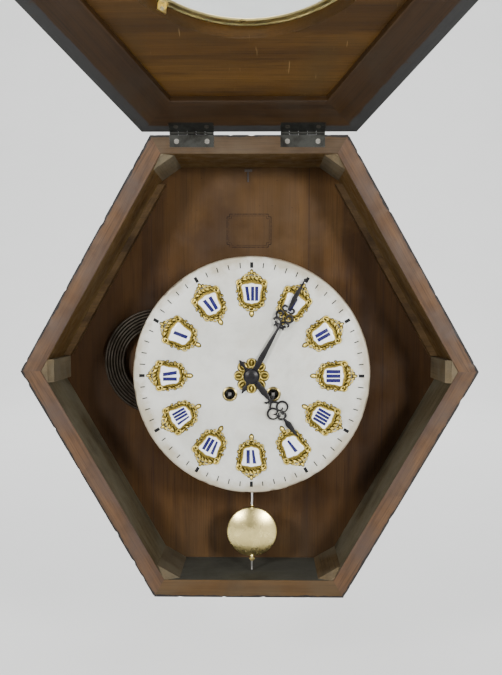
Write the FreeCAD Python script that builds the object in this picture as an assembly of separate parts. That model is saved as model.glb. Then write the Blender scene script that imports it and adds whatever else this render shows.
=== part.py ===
import FreeCAD, Part
import math
import os

# French hexagonal pendulum wall clock, with its glazed cover swung open. Millimetres.
# Working axes: x to the right, y from the case's front rim (0) into the clock, z up from the
# middle of the case. save() moves every piece so that the origin is the hanging hole at the back.

os.makedirs("parts", exist_ok=True)

# ---- case ----
HALF_WIDTH = 239.8        # middle of the case to the left or right corner
HALF_TOP = 101.3          # half of the top and bottom edges
HALF_HEIGHT = 242.0
BOARD_T = 19.0            # case boards, measured square to their faces
INNER_DEPTH = 90.0        # front rim to the back panel
PANEL_T = 12.0
CASE_DEPTH = INNER_DEPTH + PANEL_T
BATTEN_T = 6.5
BATTEN_DEPTH = 15.0
BLOCK_BEVEL = 4.0

# ---- hanging plate ----
HANG_Z = 200.0
HANG_HOLE_R = 4.5
HANG_PLATE = (34.0, 3.0, 46.0)
HOOK_POCKET_R = 8.5
HOOK_POCKET_DEPTH = 9.0

# ---- hinges and cover ----
COVER_GAP = 0.4           # closed cover to front rim
HINGE_Y = -COVER_GAP / 2
HINGE_Z = HALF_HEIGHT + 1.8
HINGE_X = (-58.5, 54.7)
HINGE_LENGTH = 45.4
KNUCKLES = 5
KNUCKLE_GAP = 0.3
KNUCKLE_R = 1.9
HINGE_PIN_R = 0.95
LEAF_T = 1.4
LEAF_HEIGHT = 12.5
COVER_OPEN = 122.5        # degrees the cover stands open
COVER_OVERHANG = 7.6
COVER_TOP = HINGE_Z - 0.8 # edge of the cover beside the hinge knuckles
RAIL_W = 49.5
TOP_RAIL_W = 42.3
RAIL_T = 6.8
COVER_PANEL_T = 16.4
HOLE_R = 131.0
MOULDING_T = 10.0
BEZEL_CLEAR_R = 124.6
BEZEL_R = 142.0
GLASS_T = 2.2
GLASS_R = 129.0
CLIP_ANGLES = (35.7, 125.7, 215.7, 305.7)

# ---- dial ----
MX, MZ = 3.0, -3.6        # hand arbor
DIAL_R = 123.0
DIAL_FRONT = -10.0
DIAL_T = 5.5
DIAL_BACK = DIAL_FRONT + DIAL_T
CARTOUCHE_R = 84.5
CARTOUCHE_T = 1.6
WIND_X, WIND_Z = 22.5, -19.0
ROSETTE_R = 19.5

# ---- movement ----
PLATE_R = 52.0
FRONT_PLATE = (3.0, 5.0)
BACK_PLATE = (25.0, 27.0)
PILLAR_ANGLES = (38.0, 142.0, -75.0, -105.0)
PILLAR_RING = 47.0
DIAL_FOOT_ANGLES = (15.0, 165.0, 270.0)
DIAL_FOOT_RING = 44.0
STANDOFF_ANGLES = (52.0, 128.0, -52.0, -128.0)
STANDOFF_RING = 46.0
RUN = 0.05                # radial running clearance of pivots and pipes
ARBOR_R = 1.0
PIVOT_R = 0.5
PRESSURE_ANGLE = 25.0
ADDENDUM = 0.70           # in modules
DEDENDUM = 0.95
BACKLASH = 0.22           # share of a module taken off each tooth
WHEEL_RIM = 2.0
WHEEL_HUB_R = 3.2

# ---- pendulum ----
PIVOT_Z = 44.0            # above the hand arbor, shared by the anchor and the pendulum
PEND_Y = 36.5
BOB_Z = -179.0
BOB_R = 27.5
BOB_T = 13.0
ROD_R = 1.4
THREAD_R = 1.2
ROD_END = -222.0

# ---- gong ----
GONG = (-104.0, 80.0, 7.0)
GONG_R = 61.5
GONG_TURNS = 7
GONG_PITCH = 6.4
GONG_WIRE_R = 1.5

# ---- hands ----
MINUTE_ANGLE = 28.9       # clockwise from twelve
HOUR_ANGLE = 142.6
MINUTE_LENGTH = 114.5
HOUR_LENGTH = 79.0
MINUTE_Y = (-16.6, -15.4)
HOUR_Y = (-13.8, -12.6)


def vec(x, y, z):
    return FreeCAD.Vector(x, y, z)


def box(x0, x1, y0, y1, z0, z1):
    return Part.makeBox(x1 - x0, y1 - y0, z1 - z0, vec(x0, y0, z0))


def rod_y(x, z, radius, y0, y1):
    """A round rod along y."""
    return Part.makeCylinder(radius, y1 - y0, vec(x, y0, z), vec(0, 1, 0))


def rod_x(x0, x1, y, z, radius):
    return Part.makeCylinder(radius, x1 - x0, vec(x0, y, z), vec(1, 0, 0))


def rod_z(x, y, radius, z0, z1):
    return Part.makeCylinder(radius, z1 - z0, vec(x, y, z0), vec(0, 0, 1))


def prism(points, y0, y1):
    """A flat outline of (x, z) points, made solid from y0 to y1."""
    wire = Part.makePolygon([vec(x, y0, z) for x, z in points + points[:1]])
    return Part.Face(wire).extrude(vec(0, y1 - y0, 0))


def turned(profile, x, z):
    """A closed (radius, y) profile turned about the y line through x, z."""
    wire = Part.makePolygon([vec(x + r, y, z) for r, y in profile + profile[:1]])
    return Part.Face(wire).revolve(vec(x, 0, z), vec(0, 1, 0), 360)


def about_y(shape, angle, x=0.0, z=0.0):
    """Turns a copy about a line along y; positive runs clockwise seen from the front."""
    return shape.copy().rotate(vec(x, 0, z), vec(0, 1, 0), angle)


def polar(radius, degrees):
    """(x, z) at that radius, counted anticlockwise from +x seen from the front."""
    a = math.radians(degrees)
    return radius * math.cos(a), radius * math.sin(a)


def fused(shapes):
    first, *rest = shapes
    return first.multiFuse(rest).removeSplitter() if rest else first


def group(shapes):
    return Part.makeCompound(shapes)


def opened(shape):
    """Swings a piece of the closed cover to its open rest position."""
    return shape.copy().rotate(vec(0, HINGE_Y, HINGE_Z), vec(-1, 0, 0), COVER_OPEN)


def save(name, shape):
    moved = shape.copy()
    moved.translate(vec(0, -CASE_DEPTH, -HANG_Z))
    solids = moved.Solids
    out = solids[0] if len(solids) == 1 else Part.makeCompound(solids)
    out.exportStep("parts/" + name + ".step")


# ------------------------------------------------------------------ hexagons
SLANT = math.atan2(HALF_WIDTH - HALF_TOP, HALF_HEIGHT)
SIDES = ("top", "upper_left", "lower_left", "bottom", "lower_right", "upper_right")


def hexagon(inset, top=None):
    """Corner points of the case outline moved in by inset; top moves the top edge to that z."""
    half_w = HALF_WIDTH - inset / math.cos(SLANT)
    low = HALF_HEIGHT - inset
    high = low if top is None else top

    def half_at(z):
        return half_w - z * math.tan(SLANT)

    return [(half_at(high), high), (-half_at(high), high), (-half_w, 0),
            (-half_at(low), -low), (half_at(low), -low), (half_w, 0)]


def side_wedge(outline, index, y0, y1):
    """The sector of the outline that one side's board is mitred to."""
    a, b = outline[index], outline[(index + 1) % 6]
    return prism([(0, 0), (a[0] * 1.3, a[1] * 1.3), (b[0] * 1.3, b[1] * 1.3)], y0, y1)


def mitred(outer, inner, y0, y1):
    """Six boards between two hexagons, mitred at the corners."""
    ring = prism(outer, y0, y1).cut(prism(inner, y0 - 1, y1 + 1))
    return [ring.common(side_wedge(outer, i, y0 - 2, y1 + 2)) for i in range(6)]


CASE_OUT = hexagon(0)
CASE_IN = hexagon(BOARD_T)
COVER_OUT = hexagon(-COVER_OVERHANG, COVER_TOP)
COVER_IN = hexagon(RAIL_W - COVER_OVERHANG, COVER_TOP - TOP_RAIL_W)
COVER_BACK = -COVER_GAP
PANEL_BACK = COVER_BACK - RAIL_T
PANEL_FRONT = PANEL_BACK - COVER_PANEL_T


# ------------------------------------------------------------------ hinges
def hinge_spans(cover_side):
    """(x0, x1) of one leaf's knuckles, counted along a hinge from 0."""
    step = HINGE_LENGTH / KNUCKLES
    return [(i * step + KNUCKLE_GAP / 2, (i + 1) * step - KNUCKLE_GAP / 2)
            for i in range(KNUCKLES) if (i % 2 == 1) == cover_side]


def hinge_leaf(x, cover_side):
    """A leaf with its knuckles, cover closed; x is the hinge's middle."""
    x0, x1 = x - HINGE_LENGTH / 2, x + HINGE_LENGTH / 2
    near, far = (-COVER_GAP - LEAF_T, -COVER_GAP) if cover_side else (0.0, LEAF_T)
    leaf = box(x0, x1, near, far, HINGE_Z - 1.8 - LEAF_HEIGHT, HINGE_Z)
    clear = rod_x(x0 - 1, x1 + 1, HINGE_Y, HINGE_Z, KNUCKLE_R + 0.35)
    leaf = leaf.cut(clear)
    knuckles = []
    for a, b in hinge_spans(cover_side):
        arm = box(x0 + a, x0 + b, near, far, HINGE_Z - 3.5, HINGE_Z)
        knuckles.append(arm.fuse(rod_x(x0 + a, x0 + b, HINGE_Y, HINGE_Z, KNUCKLE_R)))
    leaf = fused([leaf] + knuckles)
    bore = HINGE_PIN_R + RUN if cover_side else HINGE_PIN_R
    leaf = leaf.cut(rod_x(x0 - 1, x1 + 1, HINGE_Y, HINGE_Z, bore))
    for sx, sz in leaf_screws(x):
        leaf = leaf.cut(rod_y(sx, sz, 1.6, near - 1, far + 1))
    return leaf


def leaf_screws(x):
    return [(x - 15.6, HINGE_Z - 8.4), (x + 15.6, HINGE_Z - 8.4)]


def screw_socket(x, z, y_head, inward, head_r=2.6, length=11.0, shank_r=1.5):
    """Room for a countersunk screw along y; inward is +1 into the case, -1 into the cover."""
    head = Part.makeCone(head_r, shank_r, 1.3, vec(x, y_head, z), vec(0, inward, 0))
    return head.fuse(Part.makeCylinder(shank_r, length, vec(x, y_head, z), vec(0, inward, 0)))


def wood_screw(x, z, y_head, inward, head_r=2.6):
    slot = box(x - head_r, x + head_r, y_head - 0.5, y_head + 0.5, z - 0.35, z + 0.35)
    return screw_socket(x, z, y_head, inward, head_r).cut(slot)


def make_hinges():
    case_leaves, cover_leaves, pins, case_screws, cover_screws = [], [], [], [], []
    for x in HINGE_X:
        leaf, flap = hinge_leaf(x, False), hinge_leaf(x, True)
        for sx, sz in leaf_screws(x):
            leaf = leaf.cut(screw_socket(sx, sz, 0.0, 1))
            flap = flap.cut(screw_socket(sx, sz, COVER_BACK, -1))
            case_screws.append(wood_screw(sx, sz, 0.0, 1))
            cover_screws.append(wood_screw(sx, sz, COVER_BACK, -1))
        case_leaves.append(leaf)
        cover_leaves.append(flap)
        half = HINGE_LENGTH / 2
        pins.append(rod_x(x - half + 0.2, x + half - 0.2, HINGE_Y, HINGE_Z, HINGE_PIN_R))
    save("hinge_case_leaves", group(case_leaves))
    save("hinge_cover_leaves", opened(group(cover_leaves)))
    save("hinge_pins", group(pins))
    save("hinge_case_screws", group(case_screws))
    save("hinge_cover_screws", opened(group(cover_screws)))


def hinge_mortises(board, cover_side):
    """Cuts the leaf and screw seats into a board, cover closed."""
    near, far = (-COVER_GAP - LEAF_T, 0.0) if cover_side else (-COVER_GAP, LEAF_T)
    face = COVER_BACK if cover_side else 0.0
    for x in HINGE_X:
        half = HINGE_LENGTH / 2
        board = board.cut(box(x - half, x + half, near, far, HINGE_Z - 1.8 - LEAF_HEIGHT, HINGE_Z + 5))
        board = board.cut(rod_x(x - half, x + half, HINGE_Y, HINGE_Z, KNUCKLE_R + 0.35))
        for sx, sz in leaf_screws(x):
            board = board.cut(screw_socket(sx, sz, face, -1 if cover_side else 1))
    return board


# ------------------------------------------------------------------ case
def corner_block(index):
    """A glue block filling an inner corner, bevelled at its front edge."""
    x, z = CASE_IN[index]
    side = 1 if x > 0 else -1
    tan = math.tan(SLANT)
    if index in (2, 5):
        half, depth = 12.0, 12.2
        face = abs(x) - depth
        rise = half * tan
        shape = [(x, 0), (x - side * rise, half), (side * face, half),
                 (side * face, -half), (x - side * rise, -half)]
        inward = (-side, 0)
        edge = (side * face, 0)
    else:
        up = 1 if z > 0 else -1
        along_flat, along_slant = (13.0, 17.0) if up > 0 else (16.0, 16.0)
        slant_end = (x + side * along_slant * math.sin(SLANT), z - up * along_slant * math.cos(SLANT))
        flat_end = (x - side * along_flat, z)
        shape = [(x, z), slant_end, flat_end]
        length = math.hypot(flat_end[0] - slant_end[0], flat_end[1] - slant_end[1])
        inward = (-side * abs(flat_end[1] - slant_end[1]) / length,
                  -up * abs(flat_end[0] - slant_end[0]) / length)
        edge = ((flat_end[0] + slant_end[0]) / 2, (flat_end[1] + slant_end[1]) / 2)
    block = prism(shape, 1.0, INNER_DEPTH)
    bevel = box(-40, 40, -BLOCK_BEVEL * 1.5, BLOCK_BEVEL * 1.5, -8, 8)
    bevel.rotate(vec(0, 0, 0), vec(1, 0, 0), 45)
    bevel.rotate(vec(0, 0, 0), vec(0, 1, 0), 90 - math.degrees(math.atan2(inward[1], inward[0])))
    bevel.translate(vec(edge[0] + inward[0] * BLOCK_BEVEL, 0, edge[1] + inward[1] * BLOCK_BEVEL))
    return block.cut(bevel)


def batten(side):
    """A strip glued along an upper slanted wall where it meets the back panel."""
    tan = math.tan(SLANT)
    half_in = abs(CASE_IN[5][0])
    thick = BATTEN_T / math.cos(SLANT)

    def wall(z):
        return half_in - z * tan

    z0, z1 = 13.0, 203.0
    shape = [(side * wall(z0), z0), (side * wall(z1), z1),
             (side * (wall(z1) - thick), z1), (side * (wall(z0) - thick), z0)]
    return prism(shape, INNER_DEPTH - BATTEN_DEPTH, INNER_DEPTH)


def make_case():
    boards = mitred(CASE_OUT, CASE_IN, 0, CASE_DEPTH)
    for name, board in zip(SIDES, boards):
        save("board_" + name, hinge_mortises(board, False) if name == "top" else board)
    save("corner_blocks", group([corner_block(i) for i in range(6)]))
    save("back_battens", group([batten(-1), batten(1)]))

    panel = prism(CASE_IN, INNER_DEPTH, CASE_DEPTH)
    width, thick, height = HANG_PLATE
    plate = box(-width / 2, width / 2, CASE_DEPTH - thick, CASE_DEPTH,
                HANG_Z - height * 0.7, HANG_Z + height * 0.3)
    panel = panel.cut(plate)
    panel = panel.cut(rod_y(0, HANG_Z, HOOK_POCKET_R, CASE_DEPTH - HOOK_POCKET_DEPTH, CASE_DEPTH))
    plate = plate.cut(rod_y(0, HANG_Z, HANG_HOLE_R, 0, CASE_DEPTH + 1))
    staple_legs = [(-2.6, 218.0), (-2.6, 208.0)]
    staple = [rod_y(x, z, 0.9, INNER_DEPTH - 1.5, CASE_DEPTH) for x, z in staple_legs]
    staple.append(rod_z(-2.6, INNER_DEPTH - 1.0, 0.9, 207.2, 218.8))
    staple.append(box(-6.5, 2.0, INNER_DEPTH - 1.9, INNER_DEPTH, 218.4, 220.8))
    hang_staple = fused(staple)
    panel = panel.cut(hang_staple)
    plate = plate.cut(hang_staple)
    plate_screws = []
    for x, z in case_screw_places():
        panel = panel.cut(case_screw(x, z))
    for x, z in hang_screw_places():
        plate = plate.cut(rear_screw(x, z))
        panel = panel.cut(rear_screw(x, z))
        slot = box(x - 3, x + 3, CASE_DEPTH - 0.6, CASE_DEPTH + 1, z - 0.4, z + 0.4)
        plate_screws.append(rear_screw(x, z).cut(slot))
    save("back_panel", panel)
    save("hanging_plate", plate)
    save("hanging_staple", hang_staple)
    save("case_screws", group(plate_screws + [case_screw(x, z) for x, z in case_screw_places()]))


def hang_screw_places():
    return [(-12.0, HANG_Z - 24.0), (12.0, HANG_Z - 24.0)]


def rear_screw(x, z):
    return screw_socket(x, z, CASE_DEPTH, -1, 3.2, 10.0)


def standoff_places():
    return [tuple(m + p for m, p in zip((MX, MZ), polar(STANDOFF_RING, a))) for a in STANDOFF_ANGLES]


def gong_foot_places():
    return [(GONG[0] + 36.0, GONG[2] + 69.0), (GONG[0] + 36.0, GONG[2] + 56.0)]


def case_screw_places():
    """Screws through the back panel's front face: one in each standoff foot, two in the gong block."""
    feet = [(x + (8.5 if x > 0 else -8.5), z) for x, z in standoff_places()]
    return feet + gong_foot_places()


def case_screw(x, z):
    """A round-head screw whose head stands 2 mm in front of the panel."""
    y = INNER_DEPTH - 2.0
    dome = Part.makeSphere(4.0, vec(x, y + 1.6, z)).common(box(x - 5, x + 5, y - 4, y, z - 5, z + 5))
    slot = box(x - 4, x + 4, y - 3, y - 1.4, z - 0.4, z + 0.4)
    return fused([dome, rod_y(x, z, 1.5, y - 0.2, y + 11.5)]).cut(slot)


# ------------------------------------------------------------------ cover
def make_cover():
    rails = mitred(COVER_OUT, COVER_IN, PANEL_BACK, COVER_BACK)
    rails[0] = hinge_mortises(rails[0], True)
    save("cover_rails", opened(group(rails)))

    inner = hexagon(MOULDING_T - COVER_OVERHANG, COVER_TOP - MOULDING_T)
    hole = rod_y(0, 0, HOLE_R, PANEL_FRONT - 1, PANEL_BACK + 1)
    panel = prism(inner, PANEL_FRONT, PANEL_BACK).cut(hole)
    clips, screws = [], []
    for angle in CLIP_ANGLES:
        clip, screw = bezel_clip(angle)
        clips.append(clip)
        screws.append(screw)
        panel = panel.cut(screw)
    save("cover_panel", opened(hinge_mortises(panel, True)))
    save("bezel_clips", opened(group(clips)))
    save("clip_screws", opened(group(screws)))
    save("cover_moulding", opened(group(moulding())))

    lip = PANEL_FRONT
    profile = [(BEZEL_CLEAR_R, lip), (BEZEL_R - 0.6, lip), (BEZEL_R, lip - 1.6), (BEZEL_R - 0.9, lip - 4.4),
               (BEZEL_R - 3.2, lip - 6.6), (BEZEL_R - 6.4, lip - 7.6), (BEZEL_R - 9.4, lip - 6.8),
               (BEZEL_R - 10.6, lip - 5.0), (BEZEL_R - 12.2, lip - 4.6), (BEZEL_R - 14.6, lip - 5.6),
               (BEZEL_CLEAR_R + 0.8, lip - 4.2), (BEZEL_CLEAR_R, lip - 2.6)]
    save("bezel", opened(turned(profile, 0, 0)))
    save("glass", opened(rod_y(0, 0, GLASS_R, lip, lip + GLASS_T)))


def moulding():
    """Six mitred strips round the cover's edge, with a stepped and rounded front."""
    back, front = PANEL_BACK, PANEL_FRONT
    edge = [(0.0, back), (MOULDING_T, back), (MOULDING_T, front), (22.0, front), (21.4, front - 2.0),
            (17.0, front - 2.6), (15.0, front - 4.6), (11.5, front - 7.0), (7.0, front - 7.6),
            (3.2, front - 6.4), (2.6, front - 4.2), (0.0, front - 3.4)]
    strips = []
    for i in range(6):
        a, b = COVER_OUT[i], COVER_OUT[(i + 1) % 6]
        length = math.hypot(b[0] - a[0], b[1] - a[1])
        along = ((b[0] - a[0]) / length, (b[1] - a[1]) / length)
        inward = (-along[1], along[0])
        start = (a[0] - along[0] * 60, a[1] - along[1] * 60)
        points = [vec(start[0] + inward[0] * p, y, start[1] + inward[1] * p) for p, y in edge]
        bar = Part.Face(Part.makePolygon(points + points[:1])).extrude(
            vec(along[0] * (length + 120), 0, along[1] * (length + 120)))
        strips.append(bar.common(side_wedge(COVER_OUT, i, front - 20, back + 1)))
    strips[0] = hinge_mortises(strips[0], True)
    return strips


def bezel_clip(angle):
    """A brass angle clip that holds the glass, and its screw into the hole's wall."""
    back = PANEL_FRONT + GLASS_T
    seat = HOLE_R - 0.1
    foot = box(seat - 1.0, seat, back, back + 9.0, -4.5, 4.5)
    tongue = box(seat - 7.0, seat, back, back + 1.0, -4.5, 4.5)
    shank = rod_x(seat - 1.0, seat + 8.0, back + 5.5, 0, 1.0)
    screw = rod_x(seat - 1.8, seat - 0.9, back + 5.5, 0, 1.9).fuse(shank)
    slot = box(seat - 2.4, seat - 1.4, back + 5.2, back + 5.8, -2.2, 2.2)
    clip = foot.fuse(tongue).removeSplitter().cut(screw)
    return about_y(clip, -angle), about_y(screw.cut(slot), -angle)


# ------------------------------------------------------------------ dial
def mirrored_outline(points):
    """Closes a half outline of (x, z) points by mirroring it in x."""
    return points + [(-x, z) for x, z in reversed(points) if abs(x) > 1e-6]


def cartouche_outline():
    """Half of a scrolled gilt mount: crown at the top, drop at the bottom."""
    half = [(0, 24.5), (2.6, 22.4), (3.4, 19.6), (7.0, 18.6), (8.4, 15.4), (12.4, 14.6), (15.6, 11.2),
            (15.0, 7.4), (13.0, 5.2), (14.0, 0.6), (12.2, -3.6), (13.0, -7.0), (10.2, -11.4),
            (6.8, -13.6), (5.2, -17.2), (2.8, -19.0), (1.8, -22.2), (0, -23.8)]
    return mirrored_outline(half)


def plaque_outline():
    """Half of a shield with hollow sides."""
    half = [(0, 11.2), (4.6, 10.4), (10.2, 11.0), (9.4, 7.2), (9.0, 3.0), (9.8, -1.4), (9.0, -6.2),
            (5.4, -8.8), (2.2, -10.2), (0, -11.6)]
    return mirrored_outline(half)


def ring_of_twelve(shape):
    """Copies a piece drawn upright at twelve o'clock to every hour."""
    return group([about_y(shape, 30.0 * i, MX, MZ) for i in range(12)])


def at_twelve(outline, y0, y1):
    return prism([(MX + x, MZ + CARTOUCHE_R + z) for x, z in outline], y0, y1)


def make_dial():
    dial = turned([(0, DIAL_BACK), (DIAL_R, DIAL_BACK), (DIAL_R, DIAL_FRONT + 1.2),
                   (DIAL_R - 1.2, DIAL_FRONT), (0, DIAL_FRONT)], MX, MZ)
    dial = dial.cut(rod_y(MX, MZ, 5.0, DIAL_FRONT - 1, DIAL_BACK + 1))
    grommets = []
    for side in (-1, 1):
        x, z = MX + side * WIND_X, MZ + WIND_Z
        dial = dial.cut(rod_y(x, z, 5.6, DIAL_FRONT - 1, DIAL_BACK + 1))
        ring = [(4.4, DIAL_BACK), (5.6, DIAL_BACK), (5.6, DIAL_FRONT), (7.9, DIAL_FRONT),
                (7.6, DIAL_FRONT - 0.9), (6.4, DIAL_FRONT - 1.3), (5.0, DIAL_FRONT - 1.0),
                (4.4, DIAL_FRONT - 0.2)]
        grommets.append(turned(ring, x, z))
    save("dial_plate", dial)
    save("winding_grommets", group(grommets))

    frame = at_twelve(cartouche_outline(), DIAL_FRONT - CARTOUCHE_T, DIAL_FRONT)
    plaque = at_twelve(plaque_outline(), DIAL_FRONT - CARTOUCHE_T - 0.5, DIAL_FRONT)
    save("numeral_cartouches", ring_of_twelve(frame.cut(plaque)))
    save("numeral_plaques", ring_of_twelve(plaque))

    petals = []
    for i in range(48):
        wave = 1.0 if i % 4 == 0 else (0.86 if i % 4 == 2 else 0.93)
        petals.append(tuple(m + p for m, p in zip((MX, MZ), polar(ROSETTE_R * wave, 7.5 * i))))
    rosette = prism(petals, DIAL_FRONT - 1.4, DIAL_FRONT)
    for side in (-1, 1):
        rosette = rosette.cut(rod_y(MX + side * WIND_X, MZ + WIND_Z, 8.1, DIAL_FRONT - 5, DIAL_FRONT + 1))
    save("centre_rosette", rosette.cut(rod_y(MX, MZ, 3.6, DIAL_FRONT - 5, DIAL_FRONT + 1)))


# ------------------------------------------------------------------ hands
def scroll_ring(x, z, outer, inner, y0, y1):
    return rod_y(x, z, outer, y0, y1).cut(rod_y(x, z, inner, y0 - 1, y1 + 1))


def hand(outline, rings, spread, bore, angle):
    """A pierced hand drawn upright on its arbor, then turned to its rest angle."""
    y0, y1 = spread
    pieces = [prism([(MX + x, MZ + z) for x, z in mirrored_outline(half)], y0, y1) for half in outline]
    for x, z, outer, inner in rings:
        pieces.append(scroll_ring(MX + x, MZ + z, outer, inner, y0, y1))
        if x:
            pieces.append(scroll_ring(MX - x, MZ + z, outer, inner, y0, y1))
    pieces.append(rod_y(MX, MZ, 7.0, y0, y1))
    blank = fused(pieces).cut(rod_y(MX, MZ, bore, y0 - 1, y1 + 1))
    return about_y(blank, angle, MX, MZ)


def make_hands():
    m = MINUTE_LENGTH
    stem = [(0, -21.0), (1.2, -20.0), (2.4, -16.0), (1.4, -11.0), (2.6, -6.0), (2.6, 6.0), (1.6, 56.0),
            (6.0, 59.5), (6.4, 61.0), (1.2, 61.6), (1.0, 84.0), (2.2, 88.0), (1.8, 93.0), (0.4, m), (0, m)]
    loops = [(4.0, 67.6, 4.4, 2.9), (3.2, 77.4, 3.9, 2.5)]
    minute = hand([stem], loops, MINUTE_Y, 1.6, MINUTE_ANGLE)
    h = HOUR_LENGTH
    stem = [(0, -21.0), (1.4, -20.0), (2.6, -16.0), (1.6, -11.0), (3.0, -6.0), (2.6, 8.0), (3.4, 20.0),
            (2.0, 29.0), (6.2, 32.0), (6.4, 33.8), (1.3, 34.4), (1.0, 54.0), (1.4, 58.0), (3.0, 62.0),
            (2.2, 67.0), (0.4, h), (0, h)]
    loops = [(5.8, 44.6, 6.4, 4.6), (0, 54.4, 3.4, 1.8)]
    hour = hand([stem], loops, HOUR_Y, 2.55, HOUR_ANGLE)
    save("minute_hand", minute)
    save("hour_hand", hour)
    front = MINUTE_Y[0]
    dome = [(0, front), (8.4, front), (8.2, front - 1.0), (6.6, front - 2.2), (3.6, front - 3.0),
            (0, front - 3.3)]
    save("hand_boss", turned(dome, MX, MZ).cut(rod_y(MX, MZ, 1.3, front - 1.8, front + 1)))


# ------------------------------------------------------------------ wheels
def involute(t):
    return math.tan(t) - t


def gear(x, z, teeth, module, y0, y1, phase=0.0):
    """A toothed disc; phase is the angle of one tooth's centre, in degrees."""
    pitch_r = module * teeth / 2
    base_r = pitch_r * math.cos(math.radians(PRESSURE_ANGLE))
    tip_r = pitch_r + ADDENDUM * module
    root_r = pitch_r - DEDENDUM * module
    half_pitch = math.pi / (2 * teeth) - BACKLASH / teeth
    at_pitch = involute(math.radians(PRESSURE_ANGLE))
    start_r = max(root_r, base_r)
    flank = []
    for i in range(5):
        r = start_r + (tip_r - start_r) * i / 4
        flank.append((r, half_pitch + at_pitch - involute(math.acos(min(1.0, base_r / r)))))
    if root_r < base_r:
        flank.insert(0, (root_r, flank[0][1]))
    points = []
    for i in range(teeth):
        centre = math.radians(phase) + 2 * math.pi * i / teeth
        for r, half in flank:
            points.append((x + r * math.cos(centre - half), z + r * math.sin(centre - half)))
        for r, half in reversed(flank):
            points.append((x + r * math.cos(centre + half), z + r * math.sin(centre + half)))
    return prism(points, y0, y1)


def mesh_phase(driver, driver_teeth, driven, driven_teeth, driver_phase=0.0):
    """Phase that sets the driven gear's gap on the driver's tooth, at centres (x, z)."""
    line = math.degrees(math.atan2(driven[1] - driver[1], driven[0] - driver[0]))
    offset = ((line - driver_phase) * driver_teeth / 360.0) % 1.0
    return line + 180.0 - (0.5 - offset) * 360.0 / driven_teeth


def spoked(disc, x, z, rim_r, hub_r, y0, y1, spokes=5):
    """Cuts the windows between the spokes of a wheel."""
    for i in range(spokes):
        sector = [(x, z)] + [(x + rim_r * 1.3 * math.cos(a), z + rim_r * 1.3 * math.sin(a)) for a in
                             [math.radians(360.0 / spokes * (i + f)) for f in (0.12, 0.5, 0.88)]]
        ring = rod_y(x, z, rim_r, y0 - 1, y1 + 1).cut(rod_y(x, z, hub_r, y0 - 2, y1 + 2))
        disc = disc.cut(ring.common(prism(sector, y0 - 1, y1 + 1)))
    return disc


def arbor(x, z, front=FRONT_PLATE, back=BACK_PLATE):
    """A shaft with a thinner pivot at each end, running in the two plates."""
    body = rod_y(x, z, ARBOR_R, front[1] + 0.2, back[0] - 0.2)
    return [body, rod_y(x, z, PIVOT_R, front[0] + 0.2, back[1] - 0.2)]


BARREL = {"going": (MX + WIND_X, MZ + WIND_Z), "strike": (MX - WIND_X, MZ + WIND_Z)}
GREAT = (78, 0.52)
SECOND_PINION = 12
SECOND = (80, 0.42)
CENTRE_PINION = 12
CENTRE = (88, 0.38)
THIRD_PINION = 8
THIRD = (80, 0.34)
ESCAPE_PINION = 8
STRIKE_SECOND = (78, 0.40)
PIN_WHEEL = (70, 0.32)
FLY_PINION = 8
CANNON = (12, 0.5)
MINUTE_WHEEL = (36, 0.5)
MINUTE_PINION = (12, 0.4)
HOUR_WHEEL = (48, 0.4)
HAND_ARBOR = (MX, MZ)


def distance(wheel, pinion_teeth):
    return wheel[1] * (wheel[0] + pinion_teeth) / 2


def second_arbor(side):
    """Where the second arbor stands so that it meshes with both barrel and centre."""
    bx, bz = side * WIND_X, WIND_Z
    from_barrel, from_centre = distance(GREAT, SECOND_PINION), distance(SECOND, CENTRE_PINION)
    gap = math.hypot(bx, bz)
    along = (from_barrel ** 2 - from_centre ** 2 + gap ** 2) / (2 * gap)
    across = math.sqrt(from_barrel ** 2 - along ** 2)
    ux, uz = -bx / gap, -bz / gap
    return MX + bx + ux * along + side * uz * across, MZ + bz + uz * along - side * ux * across


def away(centre, gap, degrees):
    dx, dz = polar(gap, degrees)
    return centre[0] + dx, centre[1] + dz


SECOND_AT = {"going": second_arbor(1), "strike": second_arbor(-1)}
THIRD_AT = away(HAND_ARBOR, distance(CENTRE, THIRD_PINION), 100.0)
ESCAPE_AT = (MX, THIRD_AT[1] + math.sqrt(distance(THIRD, ESCAPE_PINION) ** 2 - (MX - THIRD_AT[0]) ** 2))
PIN_AT = away(SECOND_AT["strike"], distance(STRIKE_SECOND, CENTRE_PINION), 105.0)
FLY_AT = away(PIN_AT, distance(PIN_WHEEL, FLY_PINION), 60.0)
MINUTE_AT = away(HAND_ARBOR, distance(CANNON, MINUTE_WHEEL[0]), 60.0)
PIN_CIRCLE_R = 8.8
HAMMER_AT = (MX - 38.0, MZ + 14.0)
HAMMER_ANGLE = -30.0
ANCHOR_AT = (MX, MZ + PIVOT_Z)


def wheel(at, spec, y0, y1):
    teeth, module = spec
    disc = gear(*at, teeth, module, y0, y1)
    return spoked(disc, *at, teeth * module / 2 - WHEEL_RIM, WHEEL_HUB_R, y0, y1)


def make_barrel(kind):
    x, z = BARREL[kind]
    drum = turned([(2.2 + RUN, 12.0), (17.2, 12.0), (17.2, 13.0), (16.6, 13.4), (16.6, 21.6),
                   (2.2 + RUN, 21.6)], x, z)
    hollow = turned([(3.4, 13.4), (15.6, 13.4), (15.6, 20.6), (3.4, 20.6)], x, z)
    great = gear(x, z, GREAT[0], GREAT[1], 21.6, 23.4).cut(rod_y(x, z, 2.2 + RUN, 0, 30))
    save(kind + "_barrel", fused([drum, great]).cut(hollow))

    shaft = rod_y(x, z, 2.2, 1.2, 24.6)
    tail = rod_y(x, z, 1.4, 24.6, BACK_PLATE[1] - 0.2)
    square = box(x - 1.6, x + 1.6, DIAL_FRONT + 0.6, 1.2, z - 1.6, z + 1.6)
    ratchet = ratchet_wheel(x, z, 7.4, 24, 1.0, 2.6)
    save(kind + "_winding_arbor", fused([shaft, tail, square, ratchet]))


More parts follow.
